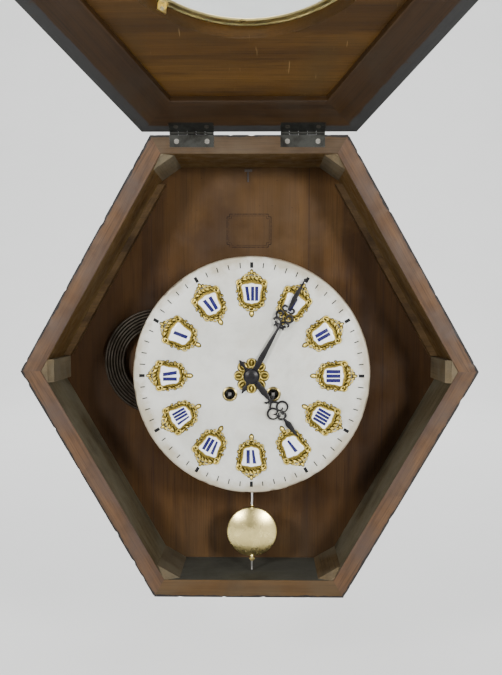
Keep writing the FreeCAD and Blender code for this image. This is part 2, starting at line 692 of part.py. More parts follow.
def ratchet_wheel(x, z, tip_r, teeth, y0, y1):
    points = []
    for i in range(teeth):
        a, b = 360.0 / teeth * i, 360.0 / teeth * (i + 0.97)
        points += [away((x, z), tip_r, a), away((x, z), tip_r - 1.1, b)]
    return prism(points, y0, y1)


def make_train():
    for kind, spec in (("going", SECOND), ("strike", STRIKE_SECOND)):
        at = SECOND_AT[kind]
        phase = mesh_phase(BARREL[kind], GREAT[0], at, SECOND_PINION)
        pieces = [wheel(at, spec, 8.6, 10.0), gear(*at, SECOND_PINION, GREAT[1], 20.8, 24.2, phase)]
        save(kind + "_second_wheel", fused(pieces + arbor(*at)))

    phase = mesh_phase(SECOND_AT["going"], SECOND[0], HAND_ARBOR, CENTRE_PINION)
    stem = [rod_y(MX, MZ, ARBOR_R, 0.0, BACK_PLATE[0] - 0.2),
            rod_y(MX, MZ, PIVOT_R, 20, BACK_PLATE[1] - 0.2),
            rod_y(MX, MZ, 1.0, -18.2, 1.0)]
    pieces = [wheel(HAND_ARBOR, CENTRE, 6.2, 7.6),
              gear(*HAND_ARBOR, CENTRE_PINION, SECOND[1], 8.0, 11.4, phase)]
    save("centre_wheel", fused(pieces + stem))

    phase = mesh_phase(HAND_ARBOR, CENTRE[0], THIRD_AT, THIRD_PINION)
    pieces = [wheel(THIRD_AT, THIRD, 16.8, 18.0),
              gear(*THIRD_AT, THIRD_PINION, CENTRE[1], 5.8, 8.2, phase)]
    save("third_wheel", fused(pieces + arbor(*THIRD_AT)))

    phase = mesh_phase(THIRD_AT, THIRD[0], ESCAPE_AT, ESCAPE_PINION)
    pieces = [escape_disc(), gear(*ESCAPE_AT, ESCAPE_PINION, THIRD[1], 16.0, 18.8, phase)]
    save("escape_wheel", fused(pieces + arbor(*ESCAPE_AT)))

    phase = mesh_phase(SECOND_AT["strike"], STRIKE_SECOND[0], PIN_AT, CENTRE_PINION)
    pieces = [wheel(PIN_AT, PIN_WHEEL, 13.4, 14.6),
              gear(*PIN_AT, CENTRE_PINION, STRIKE_SECOND[1], 8.0, 11.4, phase)]
    for i in range(10):
        px, pz = away(PIN_AT, PIN_CIRCLE_R, 36.0 * i)
        pieces.append(rod_y(px, pz, 0.45, 14.0, 16.4))
    save("strike_pin_wheel", fused(pieces + arbor(*PIN_AT)))

    phase = mesh_phase(PIN_AT, PIN_WHEEL[0], FLY_AT, FLY_PINION)
    vane = box(FLY_AT[0] - 6.4, FLY_AT[0] + 6.4, 18.6, 24.0, FLY_AT[1] - 0.3, FLY_AT[1] + 0.3)
    leaves = gear(*FLY_AT, FLY_PINION, PIN_WHEEL[1], 12.6, 15.4, phase)
    save("strike_fly", fused([vane, leaves] + arbor(*FLY_AT)))


ESCAPE_R = 8.4
ESCAPE_TEETH = 35


def escape_disc():
    x, z = ESCAPE_AT
    points = []
    for i in range(ESCAPE_TEETH):
        a = 360.0 / ESCAPE_TEETH * i
        points += [away((x, z), ESCAPE_R - 1.5, a - 8.6), away((x, z), ESCAPE_R - 1.5, a - 4.0),
                   away((x, z), ESCAPE_R - 0.1, a - 1.4), away((x, z), ESCAPE_R, a)]
    return spoked(prism(points, 20.6, 21.8), x, z, ESCAPE_R - 2.4, 2.2, 20.6, 21.8, 4)


def make_motion_work():
    save("cannon_pinion", fused([
        gear(MX, MZ, CANNON[0], CANNON[1], 0.6, 2.6), rod_y(MX, MZ, 1.6, MINUTE_Y[0], 1.0),
        rod_y(MX, MZ, 1.9, MINUTE_Y[1], 1.0)]).cut(rod_y(MX, MZ, 1.0 + RUN, -30, 30)))
    phase_wheel = mesh_phase(HAND_ARBOR, CANNON[0], MINUTE_AT, MINUTE_WHEEL[0])
    phase_hour = mesh_phase(MINUTE_AT, MINUTE_PINION[0], HAND_ARBOR, HOUR_WHEEL[0])
    x, z = MINUTE_AT
    minute = fused([gear(x, z, MINUTE_WHEEL[0], MINUTE_WHEEL[1], 0.9, 2.3, phase_wheel),
                    gear(x, z, MINUTE_PINION[0], MINUTE_PINION[1], -2.0, 1.2)])
    save("minute_wheel", minute.cut(rod_y(x, z, 0.8 + RUN, -10, 10)))
    disc = gear(MX, MZ, HOUR_WHEEL[0], HOUR_WHEEL[1], -1.6, -0.2, phase_hour)
    pipe = rod_y(MX, MZ, 2.55, HOUR_Y[0], -0.2).fuse(rod_y(MX, MZ, 3.2, HOUR_Y[1], -0.2))
    save("hour_wheel", fused([disc, pipe]).cut(rod_y(MX, MZ, 1.9 + RUN, -30, 30)))


# ------------------------------------------------------------------ plates
def plate_holes(plate):
    """Pivot holes shared by both plates."""
    small = [SECOND_AT["going"], SECOND_AT["strike"], THIRD_AT, ESCAPE_AT, PIN_AT, FLY_AT]
    for x, z in small:
        plate = plate.cut(rod_y(x, z, PIVOT_R + RUN, 0, 30))
    for a in PILLAR_ANGLES:
        x, z = away(HAND_ARBOR, PILLAR_RING, a)
        plate = plate.cut(rod_y(x, z, 1.5, 0, 30))
    return plate


def make_plates():
    front = plate_holes(rod_y(MX, MZ, PLATE_R, *FRONT_PLATE))
    front = front.cut(rod_y(MX, MZ, ARBOR_R + RUN, 0, 10))
    back = plate_holes(rod_y(MX, MZ, PLATE_R, *BACK_PLATE))
    back = back.cut(rod_y(MX, MZ, PIVOT_R + RUN, 20, 30))
    for x, z in BARREL.values():
        front = front.cut(rod_y(x, z, 2.2 + RUN, 0, 10))
        back = back.cut(rod_y(x, z, 1.4 + RUN, 20, 30))
    front = front.cut(rod_y(*HAMMER_AT, PIVOT_R + RUN, 0, 10))
    front = front.cut(rod_y(*ANCHOR_AT, PIVOT_R + RUN, 0, 10))
    back = back.cut(rod_y(*HAMMER_AT, 1.2 + RUN, 20, 30))
    back = back.cut(rod_y(*ANCHOR_AT, 3.0, 20, 30))
    x, z = MINUTE_AT
    stud = rod_y(x, z, 0.8, -2.4, FRONT_PLATE[0])
    save("movement_front_plate", front.fuse(stud).removeSplitter())
    for x, z in standoff_places():
        back = back.cut(rod_y(x, z, 1.5, 20, 30))
    for x in (-7.0, 7.0):
        back = back.cut(rod_y(MX + x, MZ + 49.0, 1.1, 20, 30))
    save("movement_back_plate", back)

    pillars, screws = [], []
    for a in PILLAR_ANGLES:
        x, z = away(HAND_ARBOR, PILLAR_RING, a)
        y0, y1 = FRONT_PLATE[1], BACK_PLATE[0]
        body = turned([(0, y0), (3.0, y0), (3.0, y0 + 2), (2.2, y0 + 3.4), (2.2, y1 - 3.4),
                       (3.0, y1 - 2), (3.0, y1), (0, y1)], x, z)
        pillars.append(fused([body, rod_y(x, z, 1.5, BACK_PLATE[0], BACK_PLATE[1])]).cut(
            rod_y(x, z, 1.0, y0 - 1, y0 + 6)))
        head = rod_y(x, z, 2.6, FRONT_PLATE[0] - 1.5, FRONT_PLATE[0]).cut(
            box(x - 3, x + 3, FRONT_PLATE[0] - 2, FRONT_PLATE[0] - 0.9, z - 0.35, z + 0.35))
        neck = rod_y(x, z, 1.5, FRONT_PLATE[0], y0)
        screws.append(fused([head, neck, rod_y(x, z, 1.0, FRONT_PLATE[0], y0 + 6)]))
    for a in DIAL_FOOT_ANGLES:
        x, z = away(HAND_ARBOR, DIAL_FOOT_RING, a)
        pillars.append(rod_y(x, z, 2.4, DIAL_BACK, FRONT_PLATE[0]))
    save("plate_pillars_and_dial_feet", group(pillars))

    posts = []
    for x, z in standoff_places():
        post = fused([rod_y(x, z, 3.2, BACK_PLATE[1], INNER_DEPTH),
                      rod_y(x, z, 1.0, BACK_PLATE[0] - 1.1, 40.0),
                      rod_y(x, z, 1.5, BACK_PLATE[0], BACK_PLATE[1])])
        sx = x + (8.5 if x > 0 else -8.5)
        foot = box(min(x, sx) - 5, max(x, sx) + 5, INNER_DEPTH - 2.0, INNER_DEPTH, z - 5, z + 5)
        posts.append(post.fuse(foot).removeSplitter().cut(rod_y(sx, z, 1.5, 80, 95)))
        nut = prism([away((x, z), 2.4, 60.0 * i) for i in range(6)], BACK_PLATE[0] - 1.0, BACK_PLATE[0])
        screws.append(nut.cut(rod_y(x, z, 1.0, 20, 30)))
    save("movement_standoffs", group(posts))
    save("movement_screws", group(screws + make_back_cock()))


# ------------------------------------------------------------------ escapement and pendulum
def make_anchor():
    x, z = ANCHOR_AT
    shaft = [rod_y(x, z, ARBOR_R, FRONT_PLATE[1] + 0.2, 31.6),
             rod_y(x, z, PIVOT_R, FRONT_PLATE[0] + 0.2, 33.6)]
    drop = z - ESCAPE_AT[1]
    reach = ESCAPE_R + 1.15
    arms = []
    for side in (-1, 1):
        outer = [(side * 1.0, 2.2), (side * 6.8, -0.2), (side * 11.0, -drop + 3.0),
                 (side * 10.6, -drop + 1.2), (side * 9.2, -drop + 4.6), (side * 5.6, -2.8),
                 (0, -1.6), (0, 2.4)]
        arms.append(prism([(x + px, z + pz) for px, pz in outer], 20.8, 21.6))
    clear = rod_y(ESCAPE_AT[0], ESCAPE_AT[1], reach, 20, 23)
    blade = fused(arms + [rod_y(x, z, 2.6, 20.8, 21.6)]).cut(clear)
    crutch = [box(x - 1.2, x + 1.2, 29.2, 31.2, z - 30.0, z), rod_y(x, z, 2.2, 29.2, 31.2)]
    foot_z = z - 30.0
    crutch.append(box(x - 3.2, x + 3.2, 29.2, 33.4, foot_z - 3, foot_z + 1))
    for side in (-1, 1):
        inner, outer = side * (ROD_R + 0.4), side * (ROD_R + 1.8)
        crutch.append(box(x + min(inner, outer), x + max(inner, outer), 31.0, 39.6, foot_z - 3, foot_z + 1))
    save("anchor_and_crutch", fused(shaft + [blade] + crutch))


def make_back_cock():
    """The bracket for the anchor's rear pivot and the pendulum; returns its pin and screws."""
    x, z = ANCHOR_AT
    foot = box(x - 10, x + 10, 27.0, 29.0, z + 3.0, z + 7.0)
    arm = box(x - 4.6, x + 4.6, 27.0, 41.2, z + 5.4, z + 8.6)
    cheeks = [box(x - 4, x + 4, y0, y1, z - 2.6, z + 6.0) for y0, y1 in ((32.0, 33.9), (39.1, 41.2))]
    cock = fused([foot, arm] + cheeks)
    cock = cock.cut(rod_y(x, z, PIVOT_R + RUN, 31, 33.65)).cut(rod_y(x, z, 0.8, 33.65, 42))
    pin = rod_y(x, z, 0.8, 33.65, 41.2)
    screws = []
    for sx in (-7.0, 7.0):
        sz = MZ + 49.0
        cock = cock.cut(rod_y(x + sx, sz, 1.1, 26, 30))
        slot = box(x + sx - 2, x + sx + 2, 29.8, 31, sz - 0.3, sz + 0.3)
        head = rod_y(x + sx, sz, 1.8, 29.0, 30.2).cut(slot)
        screws.append(fused([head, rod_y(x + sx, sz, 1.1, BACK_PLATE[0], 29.2)]))
    save("back_cock", cock)
    return [pin] + screws


def make_pendulum():
    x, z = ANCHOR_AT
    y = PEND_Y
    chops = box(x - 2.2, x + 2.2, y - 1.9, y + 1.9, z - 3.4, z + 2.4)
    chops = chops.cut(rod_y(x, z, 0.8 + RUN, 30, 45))
    strip = box(x - 0.15, x + 0.15, y - 1.6, y + 1.6, z - 16.0, z - 3.4)
    lower = box(x - 1.8, x + 1.8, y - 1.9, y + 1.9, z - 21.0, z - 16.0)
    save("suspension_spring", fused([chops, strip, lower]))
    top = z - 21.0
    bob_top = BOB_Z + BOB_R
    rod = [rod_z(x, y, ROD_R, bob_top - 8, top), rod_z(x, y, THREAD_R, ROD_END, bob_top - 8)]
    save("pendulum_rod", fused(rod))

    half = BOB_T / 2
    rim = 1.0
    curve_r = (BOB_R ** 2 + (half - rim) ** 2) / (2 * (half - rim))
    faces = [Part.makeSphere(curve_r, vec(x, y + s * (curve_r - half), BOB_Z)) for s in (-1, 1)]
    lens = rod_y(x, BOB_Z, BOB_R, y - half, y + half).common(faces[0]).common(faces[1])
    collar = rod_z(x, y, 2.0, bob_top - 1.0, bob_top + 2.6).fuse(rod_z(x, y, 2.5, bob_top - 4, bob_top + 0.4))
    bob = fused([lens, collar, rod_z(x, y, 2.4, BOB_Z - BOB_R - 1.2, BOB_Z - BOB_R + 3)])
    bob = bob.cut(rod_z(x, y, ROD_R + RUN, bob_top - 10, bob_top + 5))
    save("pendulum_bob", bob.cut(rod_z(x, y, THREAD_R + RUN, -230, bob_top - 5)))

    nut_top = BOB_Z - BOB_R - 1.5
    nut = fused([rod_z(x, y, 3.3, nut_top - 1.6, nut_top - 0.4), rod_z(x, y, 2.2, nut_top - 3.6, nut_top)])
    for i in range(16):
        kx, ky = 3.45 * math.cos(math.pi * i / 8), 3.45 * math.sin(math.pi * i / 8)
        nut = nut.cut(rod_z(x + kx, y + ky, 0.35, nut_top - 2, nut_top))
    save("rating_nut", nut.cut(rod_z(x, y, THREAD_R + RUN, -230, -190)))


# ------------------------------------------------------------------ gong and hammer
def make_gong():
    """A flat steel spiral of half circles, its outer end held in an iron block."""
    gx, gy, gz = GONG
    end_angle = math.radians(62.0)
    ux, uz = math.cos(end_angle), math.sin(end_angle)
    edges = []
    radius = GONG_R - GONG_WIRE_R
    centre = 0.0
    side = 1
    for _ in range(2 * GONG_TURNS):
        start, end = centre + side * radius, centre - side * radius
        mid = vec(gx + ux * centre + uz * radius * side, gy, gz + uz * centre - ux * radius * side)
        a, b = [vec(gx + ux * s, gy, gz + uz * s) for s in (start, end)]
        edges.append(Part.Arc(a, mid, b).toShape())
        next_radius = radius - GONG_PITCH / 4
        centre = end + side * next_radius
        radius = next_radius
        side = -side
    tangent = edges[0].tangentAt(edges[0].FirstParameter)
    begin = edges[0].valueAt(edges[0].FirstParameter)
    path = Part.Wire(edges)
    ring = Part.Wire(Part.makeCircle(GONG_WIRE_R, begin, tangent))
    coil = path.makePipeShell([ring], True, True)
    save("gong_coil", coil)

    bx, bz = gx + 34.0, gz + 62.0
    block = box(bx - 9, bx + 9, gy - 6, INNER_DEPTH, bz - 13, bz + 13).cut(coil)
    for x, z in gong_foot_places():
        block = block.cut(rod_y(x, z, 4.3, 70, INNER_DEPTH - 2.0)).cut(rod_y(x, z, 1.5, 70, 95))
    save("gong_block", block)


def make_hammer():
    """The strike hammer: an arbor through both plates, a lifting tail, an arm and a brass head."""
    x, z = HAMMER_AT
    gap = math.hypot(PIN_AT[0] - x, PIN_AT[1] - z)
    tail = box(x, x + gap - PIN_CIRCLE_R - 0.9, 15.0, 16.6, z - 0.7, z + 0.7)
    tail = about_y(tail, -math.degrees(math.atan2(PIN_AT[1] - z, PIN_AT[0] - x)), x, z)
    strike_line = polar(1.0, HAMMER_ANGLE)
    near = GONG_R + 1.0
    start = vec(GONG[0] + near * strike_line[0], GONG[1], GONG[2] + near * strike_line[1])
    along = vec(strike_line[0], 0, strike_line[1])
    head = Part.makeCylinder(4.0, 9.0, start, along)
    middle = start + along * 4.5
    arm_line = middle - vec(x, GONG[1], z)
    arm = Part.makeCylinder(1.0, arm_line.Length, vec(x, GONG[1], z), arm_line)
    shaft = [rod_y(x, z, 1.2, FRONT_PLATE[1] + 0.2, GONG[1] + 1.6),
             rod_y(x, z, PIVOT_R, FRONT_PLATE[0] + 0.2, FRONT_PLATE[1] + 1.0)]
    save("hammer", fused(shaft + [tail, arm, head]))


make_hinges()
make_case()
make_cover()
make_dial()
make_hands()
for train in ("going", "strike"):
    make_barrel(train)
make_train()
make_motion_work()
make_plates()
make_anchor()
make_pendulum()
make_gong()
make_hammer()
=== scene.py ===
import random
from math import atan2, cos, exp, hypot, pi, radians, sin, sqrt, tan

import bmesh
import bpy
from mathutils import Matrix, Vector, noise

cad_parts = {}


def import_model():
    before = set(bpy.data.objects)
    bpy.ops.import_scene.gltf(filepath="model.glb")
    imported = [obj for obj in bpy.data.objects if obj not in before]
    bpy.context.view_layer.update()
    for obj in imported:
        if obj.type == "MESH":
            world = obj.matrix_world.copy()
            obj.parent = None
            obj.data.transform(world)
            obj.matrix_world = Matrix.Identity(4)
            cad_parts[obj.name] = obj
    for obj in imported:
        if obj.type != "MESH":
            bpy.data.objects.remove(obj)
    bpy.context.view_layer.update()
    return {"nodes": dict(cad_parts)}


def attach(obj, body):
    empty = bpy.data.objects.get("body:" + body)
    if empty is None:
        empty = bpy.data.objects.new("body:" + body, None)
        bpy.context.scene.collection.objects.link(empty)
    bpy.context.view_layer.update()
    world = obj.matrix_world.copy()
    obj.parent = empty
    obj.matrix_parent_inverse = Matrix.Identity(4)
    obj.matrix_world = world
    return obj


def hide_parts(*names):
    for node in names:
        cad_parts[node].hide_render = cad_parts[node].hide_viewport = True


# Looks for the open hexagonal pendulum clock. Lengths in the tables are millimetres in the clock's
# working axes: x right, y from the front rim into the case, z up from the middle of the case.

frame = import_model()

HALF_WIDTH, HALF_TOP, HALF_HEIGHT, BOARD_T, DEPTH = 239.8, 101.3, 242.0, 19.0, 102.0
SLANT = atan2(HALF_WIDTH - HALF_TOP, HALF_HEIGHT)
HINGE = (0.0, -0.2, 243.8)
HINGE_X, LEAF_HALF, LEAF_LOW = (-58.5, 54.7), 22.72, HINGE[2] - 14.3
COVER_OPEN = 122.5
COVER_TOP = HINGE[2] - 0.8
COVER_OVER, RAIL_W, TOP_RAIL_W = 7.6, 49.5, 42.3
PANEL_BACK, PANEL_FRONT, HOLE_EDGE = -7.2, -23.6, 0.1302
MX, MZ, DIAL_R, DIAL_FRONT, DIAL_BACK = 3.0, -3.6, 123.0, -10.0, -4.5
NUMERAL_R, TRACK_R = 84.5, 110.4
WIND_X, WIND_Z, WIND_R = 22.5, -19.0, 5.6
PEND_Y, BOB_Z, BOB_R = 36.5, -179.0, 27.5


def world(x, y, z):
    """Working millimetres to the shared frame in metres."""
    return Vector((x / 1000, (y - DEPTH) / 1000, (z - 200.0) / 1000))


def place(x, y, z):
    return Matrix.Translation(world(x, y, z))


def opened():
    """The turn that takes a piece of the closed cover to where it rests."""
    p = world(*HINGE)
    turn = Matrix.Rotation(radians(COVER_OPEN), 4, Vector((-1, 0, 0)))
    return Matrix.Translation(p) @ turn @ Matrix.Translation(-p)


def clockwise(degrees):
    return Matrix.Rotation(radians(degrees), 4, Vector((0, 1, 0)))


def smoothstep(a, b, v):
    t = min(1.0, max(0.0, (v - a) / (b - a)))
    return t * t * (3 - 2 * t)


# ------------------------------------------------------------------ shading
class Shader:
    """A short way to write node materials."""

    def __init__(self, name):
        self.mat = bpy.data.materials.new(name)
        self.mat.use_nodes = True
        self.tree = self.mat.node_tree
        self.tree.nodes.clear()

    def add(self, kind, settings=None, **inputs):
        node = self.tree.nodes.new("ShaderNode" + kind)
        for key, value in (settings or {}).items():
            setattr(node, key, value)
        for key, value in inputs.items():
            self.set(node.inputs[key.replace("_", " ")], value)
        return node

    def set(self, socket, value):
        if isinstance(value, bpy.types.NodeSocket):
            self.tree.links.new(value, socket)
        elif socket.type == "RGBA" and len(value) == 3:
            socket.default_value = (*value, 1.0)
        else:
            socket.default_value = value

    def where(self, scale=(1, 1, 1), turn=(0, 0, 0), move=(0, 0, 0), source=None):
        """Object coordinates in metres, scaled and turned."""
        source = source or self.add("TexCoord").outputs["Object"]
        return self.add("Mapping", Vector=source, Scale=scale, Rotation=[radians(a) for a in turn],
                        Location=move).outputs["Vector"]

    def noise(self, vector, scale=1.0, detail=4.0, rough=0.5, twist=0.0):
        return self.add("TexNoise", Vector=vector, Scale=scale, Detail=detail, Roughness=rough,
                        Distortion=twist).outputs["Fac"]

    def spots(self, *settings):
        """Noise over the object's own coordinates."""
        return self.noise(self.where(), *settings)

    def cells(self, scale, feature="F1"):
        return self.add("TexVoronoi", {"feature": feature}, Vector=self.where(),
                        Scale=scale).outputs["Distance"]

    def ramp(self, fac, *stops):
        """Colour stops as (position, colour or grey)."""
        node = self.add("ValToRGB", Fac=fac)
        points = node.color_ramp.elements
        while len(points) < len(stops):
            points.new(0.5)
        for point, (at, colour) in zip(points, stops):
            point.position = at
            point.color = (*colour, 1) if isinstance(colour, tuple) else (colour, colour, colour, 1)
        return node.outputs["Color"]

    def uneven(self, scale, low, high):
        """A value that drifts between two levels."""
        return self.ramp(self.spots(scale, 4), (0.3, low), (0.7, high))

    def math(self, op, a, b=0.0, c=0.0, clamp=False):
        node = self.add("Math", {"operation": op, "use_clamp": clamp})
        for socket, value in zip(node.inputs, (a, b, c)):
            self.set(socket, value)
        return node.outputs["Value"]

    def times(self, a, b):
        return self.math("MULTIPLY", a, b)

    def plus(self, a, b):
        return self.math("ADD", a, b)

    def minus(self, a, b, clamp=False):
        return self.math("SUBTRACT", a, b, clamp=clamp)

    def size(self, a):
        return self.math("ABSOLUTE", a)

    def reach(self, a, b):
        """Distance from the origin of two coordinates."""
        return self.math("SQRT", self.plus(self.times(a, a), self.times(b, b)))

    def blend(self, fac, a, b):
        node = self.add("Mix", {"data_type": "RGBA", "blend_type": "MIX", "clamp_factor": True})
        for i, value in ((0, fac), (6, a), (7, b)):
            self.set(node.inputs[i], value)
        return node.outputs[2]

    def tint(self, colour, mask, amount, other):
        """Another colour where the mask is 1, at a share of its strength."""
        return self.blend(self.times(mask, amount), colour, other)

    def step(self, value, low, high):
        """0 below low, 1 above high, smooth between."""
        return self.add("MapRange", {"interpolation_type": "SMOOTHSTEP"}, Value=value, From_Min=low,
                        From_Max=high).outputs["Result"]

    def axis(self, name, vector=None):
        vector = vector or self.add("TexCoord").outputs["Object"]
        return self.add("SeparateXYZ", Vector=vector).outputs[name]

    def bump(self, height, strength, distance):
        return self.add("Bump", Strength=strength, Distance=distance, Height=height).outputs["Normal"]

    def finish(self, **inputs):
        shader = self.add("BsdfPrincipled", **inputs)
        self.add("OutputMaterial", Surface=shader.outputs["BSDF"])
        return self.mat


def wood_layers(s, along, deep, mid, pale, seed, figure=1.0, source=None):
    """Grain running along one axis: broad figure, fine fibres and pores. Returns colour and height."""
    shrink = {"X": (0.06, 1, 1), "Y": (1, 0.06, 1), "Z": (1, 1, 0.06)}[along]
    v = s.where(scale=shrink, move=(seed, seed * 0.7, seed * 1.3), source=source)
    broad = s.noise(v, 26 * figure, 4, 0.55, 0.9)
    rings = s.noise(v, 110 * figure, 5, 0.6, 0.5)
    fibre = s.noise(s.where(scale=tuple(0.25 * k if k < 1 else k for k in shrink), source=source), 900, 3, 0.7)
    colour = s.ramp(broad, (0.25, deep), (0.5, mid), (0.78, pale))
    colour = s.tint(colour, s.step(rings, 0.45, 0.7), 0.55, deep)
    colour = s.tint(colour, s.step(fibre, 0.46, 0.7), 0.55, tuple(0.45 * c for c in deep))
    height = s.plus(s.times(rings, 0.5), s.times(fibre, 0.5))
    return colour, height


def aged(s, colour, tint, scale, amount, low=0.45, high=0.7, seed=0.0):
    """Blotches of another colour: dust, stain or fading."""
    patch = s.noise(s.where(move=(seed, seed, seed)), scale, 5, 0.6, 0.4)
    return s.tint(colour, s.step(patch, low, high), amount, tint)


def wood(name, along, deep, mid, pale, seed, rough=(0.45, 0.7), dust=None, extra=None):
    s = Shader(name)
    colour, height = wood_layers(s, along, deep, mid, pale, seed)
    colour = aged(s, colour, tuple(0.35 * c for c in deep), 14, 0.65, 0.47, 0.72, seed)
    if dust:
        colour = aged(s, colour, dust[0], 9, dust[1], 0.35, 0.65, seed + 3)
    specks = s.cells(420)
    colour = s.blend(s.minus(0.5, s.step(specks, 0.04, 0.16), clamp=True), colour,
                     tuple(0.3 * c for c in deep))
    if extra:
        colour = extra(s, colour)
    sheen = s.step(s.spots(60, 4, 0.6), 0.3, 0.7)
    dull = s.add("MapRange", Value=sheen, To_Min=rough[0], To_Max=rough[1]).outputs["Result"]
    return s.finish(Base_Color=colour, Roughness=dull, Specular_IOR_Level=0.18,
                    Normal=s.bump(height, 0.35, 0.0006))


def black_edge(s, colour):
    """Paint that laps round the outer arris of a case board, with a worn border and chips."""
    ragged = s.times(s.minus(s.spots(90, 5, 0.65), 0.5), 0.0056)
    mask = s.step(s.plus(s.axis("Z"), ragged), 0.0163, 0.0171)
    chips = s.step(s.noise(s.where(move=(7, 3, 1)), 150, 5, 0.7), 0.62, 0.68)
    return s.blend(s.times(mask, s.minus(1.0, chips)), colour, (0.012, 0.011, 0.011))


def ebonised(name):
    s = Shader(name)
    colour, height = wood_layers(s, "X", (0.006, 0.005, 0.005), (0.012, 0.011, 0.011),
                                 (0.02, 0.018, 0.017), 2.0)
    rub = s.step(s.spots(45, 6, 0.7, 0.3), 0.63, 0.76)
    colour = s.tint(colour, rub, 0.7, (0.09, 0.045, 0.02))
    scratch = s.step(s.noise(s.where(scale=(1, 0.15, 1), turn=(20, 35, 10)), 380, 2, 0.5), 0.7, 0.78)
    colour = s.tint(colour, scratch, 0.35, (0.12, 0.1, 0.08))
    rough = s.uneven(30, 0.3, 0.55)
    return s.finish(Base_Color=colour, Roughness=rough, Specular_IOR_Level=0.3, Coat_Weight=0.05,
                    Coat_Roughness=0.3, Normal=s.bump(height, 0.25, 0.0004))


def metal(name, colour, tarnish, rough, spread):
    s = Shader(name)
    cloud = s.spots(55, 6, 0.65, 0.4)
    tone = s.tint(colour, s.step(cloud, 0.42, 0.72), spread, tarnish)
    specks = s.noise(s.where(move=(5, 2, 9)), 420, 4, 0.7)
    tone = s.tint(tone, s.step(specks, 0.62, 0.72), 0.6, tuple(0.5 * c for c in tarnish))
    dull = s.ramp(cloud, (0.3, rough), (0.75, min(1.0, rough * 1.9)))
    return s.finish(Base_Color=tone, Metallic=1.0, Roughness=dull,
                    Normal=s.bump(s.spots(700, 3, 0.6), 0.15, 0.0002))


def gilt(name, low, high):
    """Cast gilding graded by height: bright on the high leaves, near black in the hollows as brown dirt and
    painted shade of the recesses. Object -Y is height, in mm.
    """
    s = Shader(name)
    height = s.times(s.axis("Y"), -1000.0)
    dirt_and_shade_jitter = s.times(s.minus(s.spots(700, 4, 0.7), 0.5), 0.35 * (high - low))
    raised = s.step(s.plus(height, dirt_and_shade_jitter), low, high)
    # tone by height: the dark low stops are partly dirt and partly painted shade in the hollows
    tone = s.ramp(raised, (0.0, (0.01, 0.007, 0.002)), (0.42, (0.15, 0.11, 0.022)), (1.0, (0.56, 0.44, 0.12)))
    tone = aged(s, tone, (0.1, 0.075, 0.016), 260, 0.6, 0.48, 0.68)
    rough = s.ramp(raised, (0.0, 0.6), (1.0, 0.33))
    return s.finish(Base_Color=tone, Metallic=1.0, Roughness=rough, Normal=s.bump(s.spots(900, 3), 0.35, 0.0002))


def grommet():
    """Brass rings round the winding holes, with painted shade inside: near black within the ring."""
    s = Shader("winding_hole_brass")
    dx = s.minus(s.size(s.minus(s.axis("X"), MX / 1000)), WIND_X / 1000)
    dz = s.minus(s.axis("Z"), world(0, 0, MZ + WIND_Z).z)
    radius = s.reach(dx, dz)
    worn = s.spots(500, 4, 0.65)
    tone = s.ramp(worn, (0.35, (0.27, 0.22, 0.09)), (0.7, (0.09, 0.07, 0.03)))
    # painted shade: near black inside radius 5.3 mm, standing in for the depth of the winding hole
    ring = s.step(radius, 0.0053, 0.0058)
    tone = s.blend(ring, (0.012, 0.01, 0.008), tone)
    return s.finish(Base_Color=tone, Metallic=1.0, Roughness=s.ramp(ring, (0.0, 0.8), (1.0, 0.3)),
                    Normal=s.bump(worn, 0.2, 0.0002))


def black_steel():
    """Blued hands gone black, a little rubbed."""
    s = Shader("blackened_steel")
    cloud = s.spots(120, 5, 0.65)
    tone = s.ramp(cloud, (0.35, (0.006, 0.006, 0.008)), (0.7, (0.016, 0.015, 0.015)))
    return s.finish(Base_Color=tone, Metallic=0.0, Specular_IOR_Level=0.14,
                    Roughness=s.ramp(cloud, (0.3, 0.26), (0.75, 0.42)),
                    Normal=s.bump(s.spots(800, 3), 0.12, 0.0001))


M = {}
M["black"] = ebonised("ebonised_wood")
M["black_cover"] = ebonised("ebonised_cover")
M["rim_top"] = wood("rim_wood_top", "X", (0.02, 0.011, 0.005), (0.044, 0.025, 0.01), (0.08, 0.047, 0.02), 1.0,
                    dust=((0.065, 0.048, 0.03), 0.5), extra=black_edge)
M["rim_slant"] = wood("rim_wood_slant", "X", (0.024, 0.012, 0.006), (0.066, 0.034, 0.016), (0.13, 0.067, 0.027),
                      4.0, dust=((0.05, 0.037, 0.032), 0.8), extra=black_edge)
M["rim_low"] = wood("rim_wood_low", "X", (0.036, 0.016, 0.004), (0.08, 0.04, 0.01), (0.13, 0.07, 0.019), 8.0,
                    dust=((0.06, 0.044, 0.024), 0.55), extra=black_edge)
M["inner_up"] = wood("inner_wood_upper", "X", (0.045, 0.023, 0.006), (0.095, 0.052, 0.015), (0.14, 0.084, 0.027),
                     2.0, rough=(0.5, 0.75), dust=((0.11, 0.08, 0.042), 0.35))
M["inner_low"] = wood("inner_wood_lower", "X", (0.035, 0.025, 0.011), (0.078, 0.059, 0.03), (0.12, 0.097, 0.055),
                      5.0, rough=(0.7, 0.9), dust=((0.115, 0.105, 0.072), 0.7))
M["inner_floor"] = wood("inner_wood_bottom", "X", (0.016, 0.013, 0.008), (0.035, 0.031, 0.02),
                        (0.06, 0.056, 0.042), 5.5, rough=(0.7, 0.9), dust=((0.065, 0.066, 0.055), 0.7))
M["block"] = wood("block_wood", "Y", (0.04, 0.024, 0.01), (0.095, 0.062, 0.027), (0.15, 0.11, 0.056), 3.0,
                  rough=(0.7, 0.9), dust=((0.13, 0.115, 0.08), 0.6))
M["batten"] = wood("batten_wood", "X", (0.03, 0.016, 0.005), (0.065, 0.036, 0.012), (0.1, 0.06, 0.024), 6.0)
M["raw"] = wood("raw_back_wood", "Z", (0.09, 0.052, 0.025), (0.18, 0.11, 0.055), (0.26, 0.175, 0.1), 7.0,
                rough=(0.75, 0.95), dust=((0.15, 0.12, 0.085), 0.6))


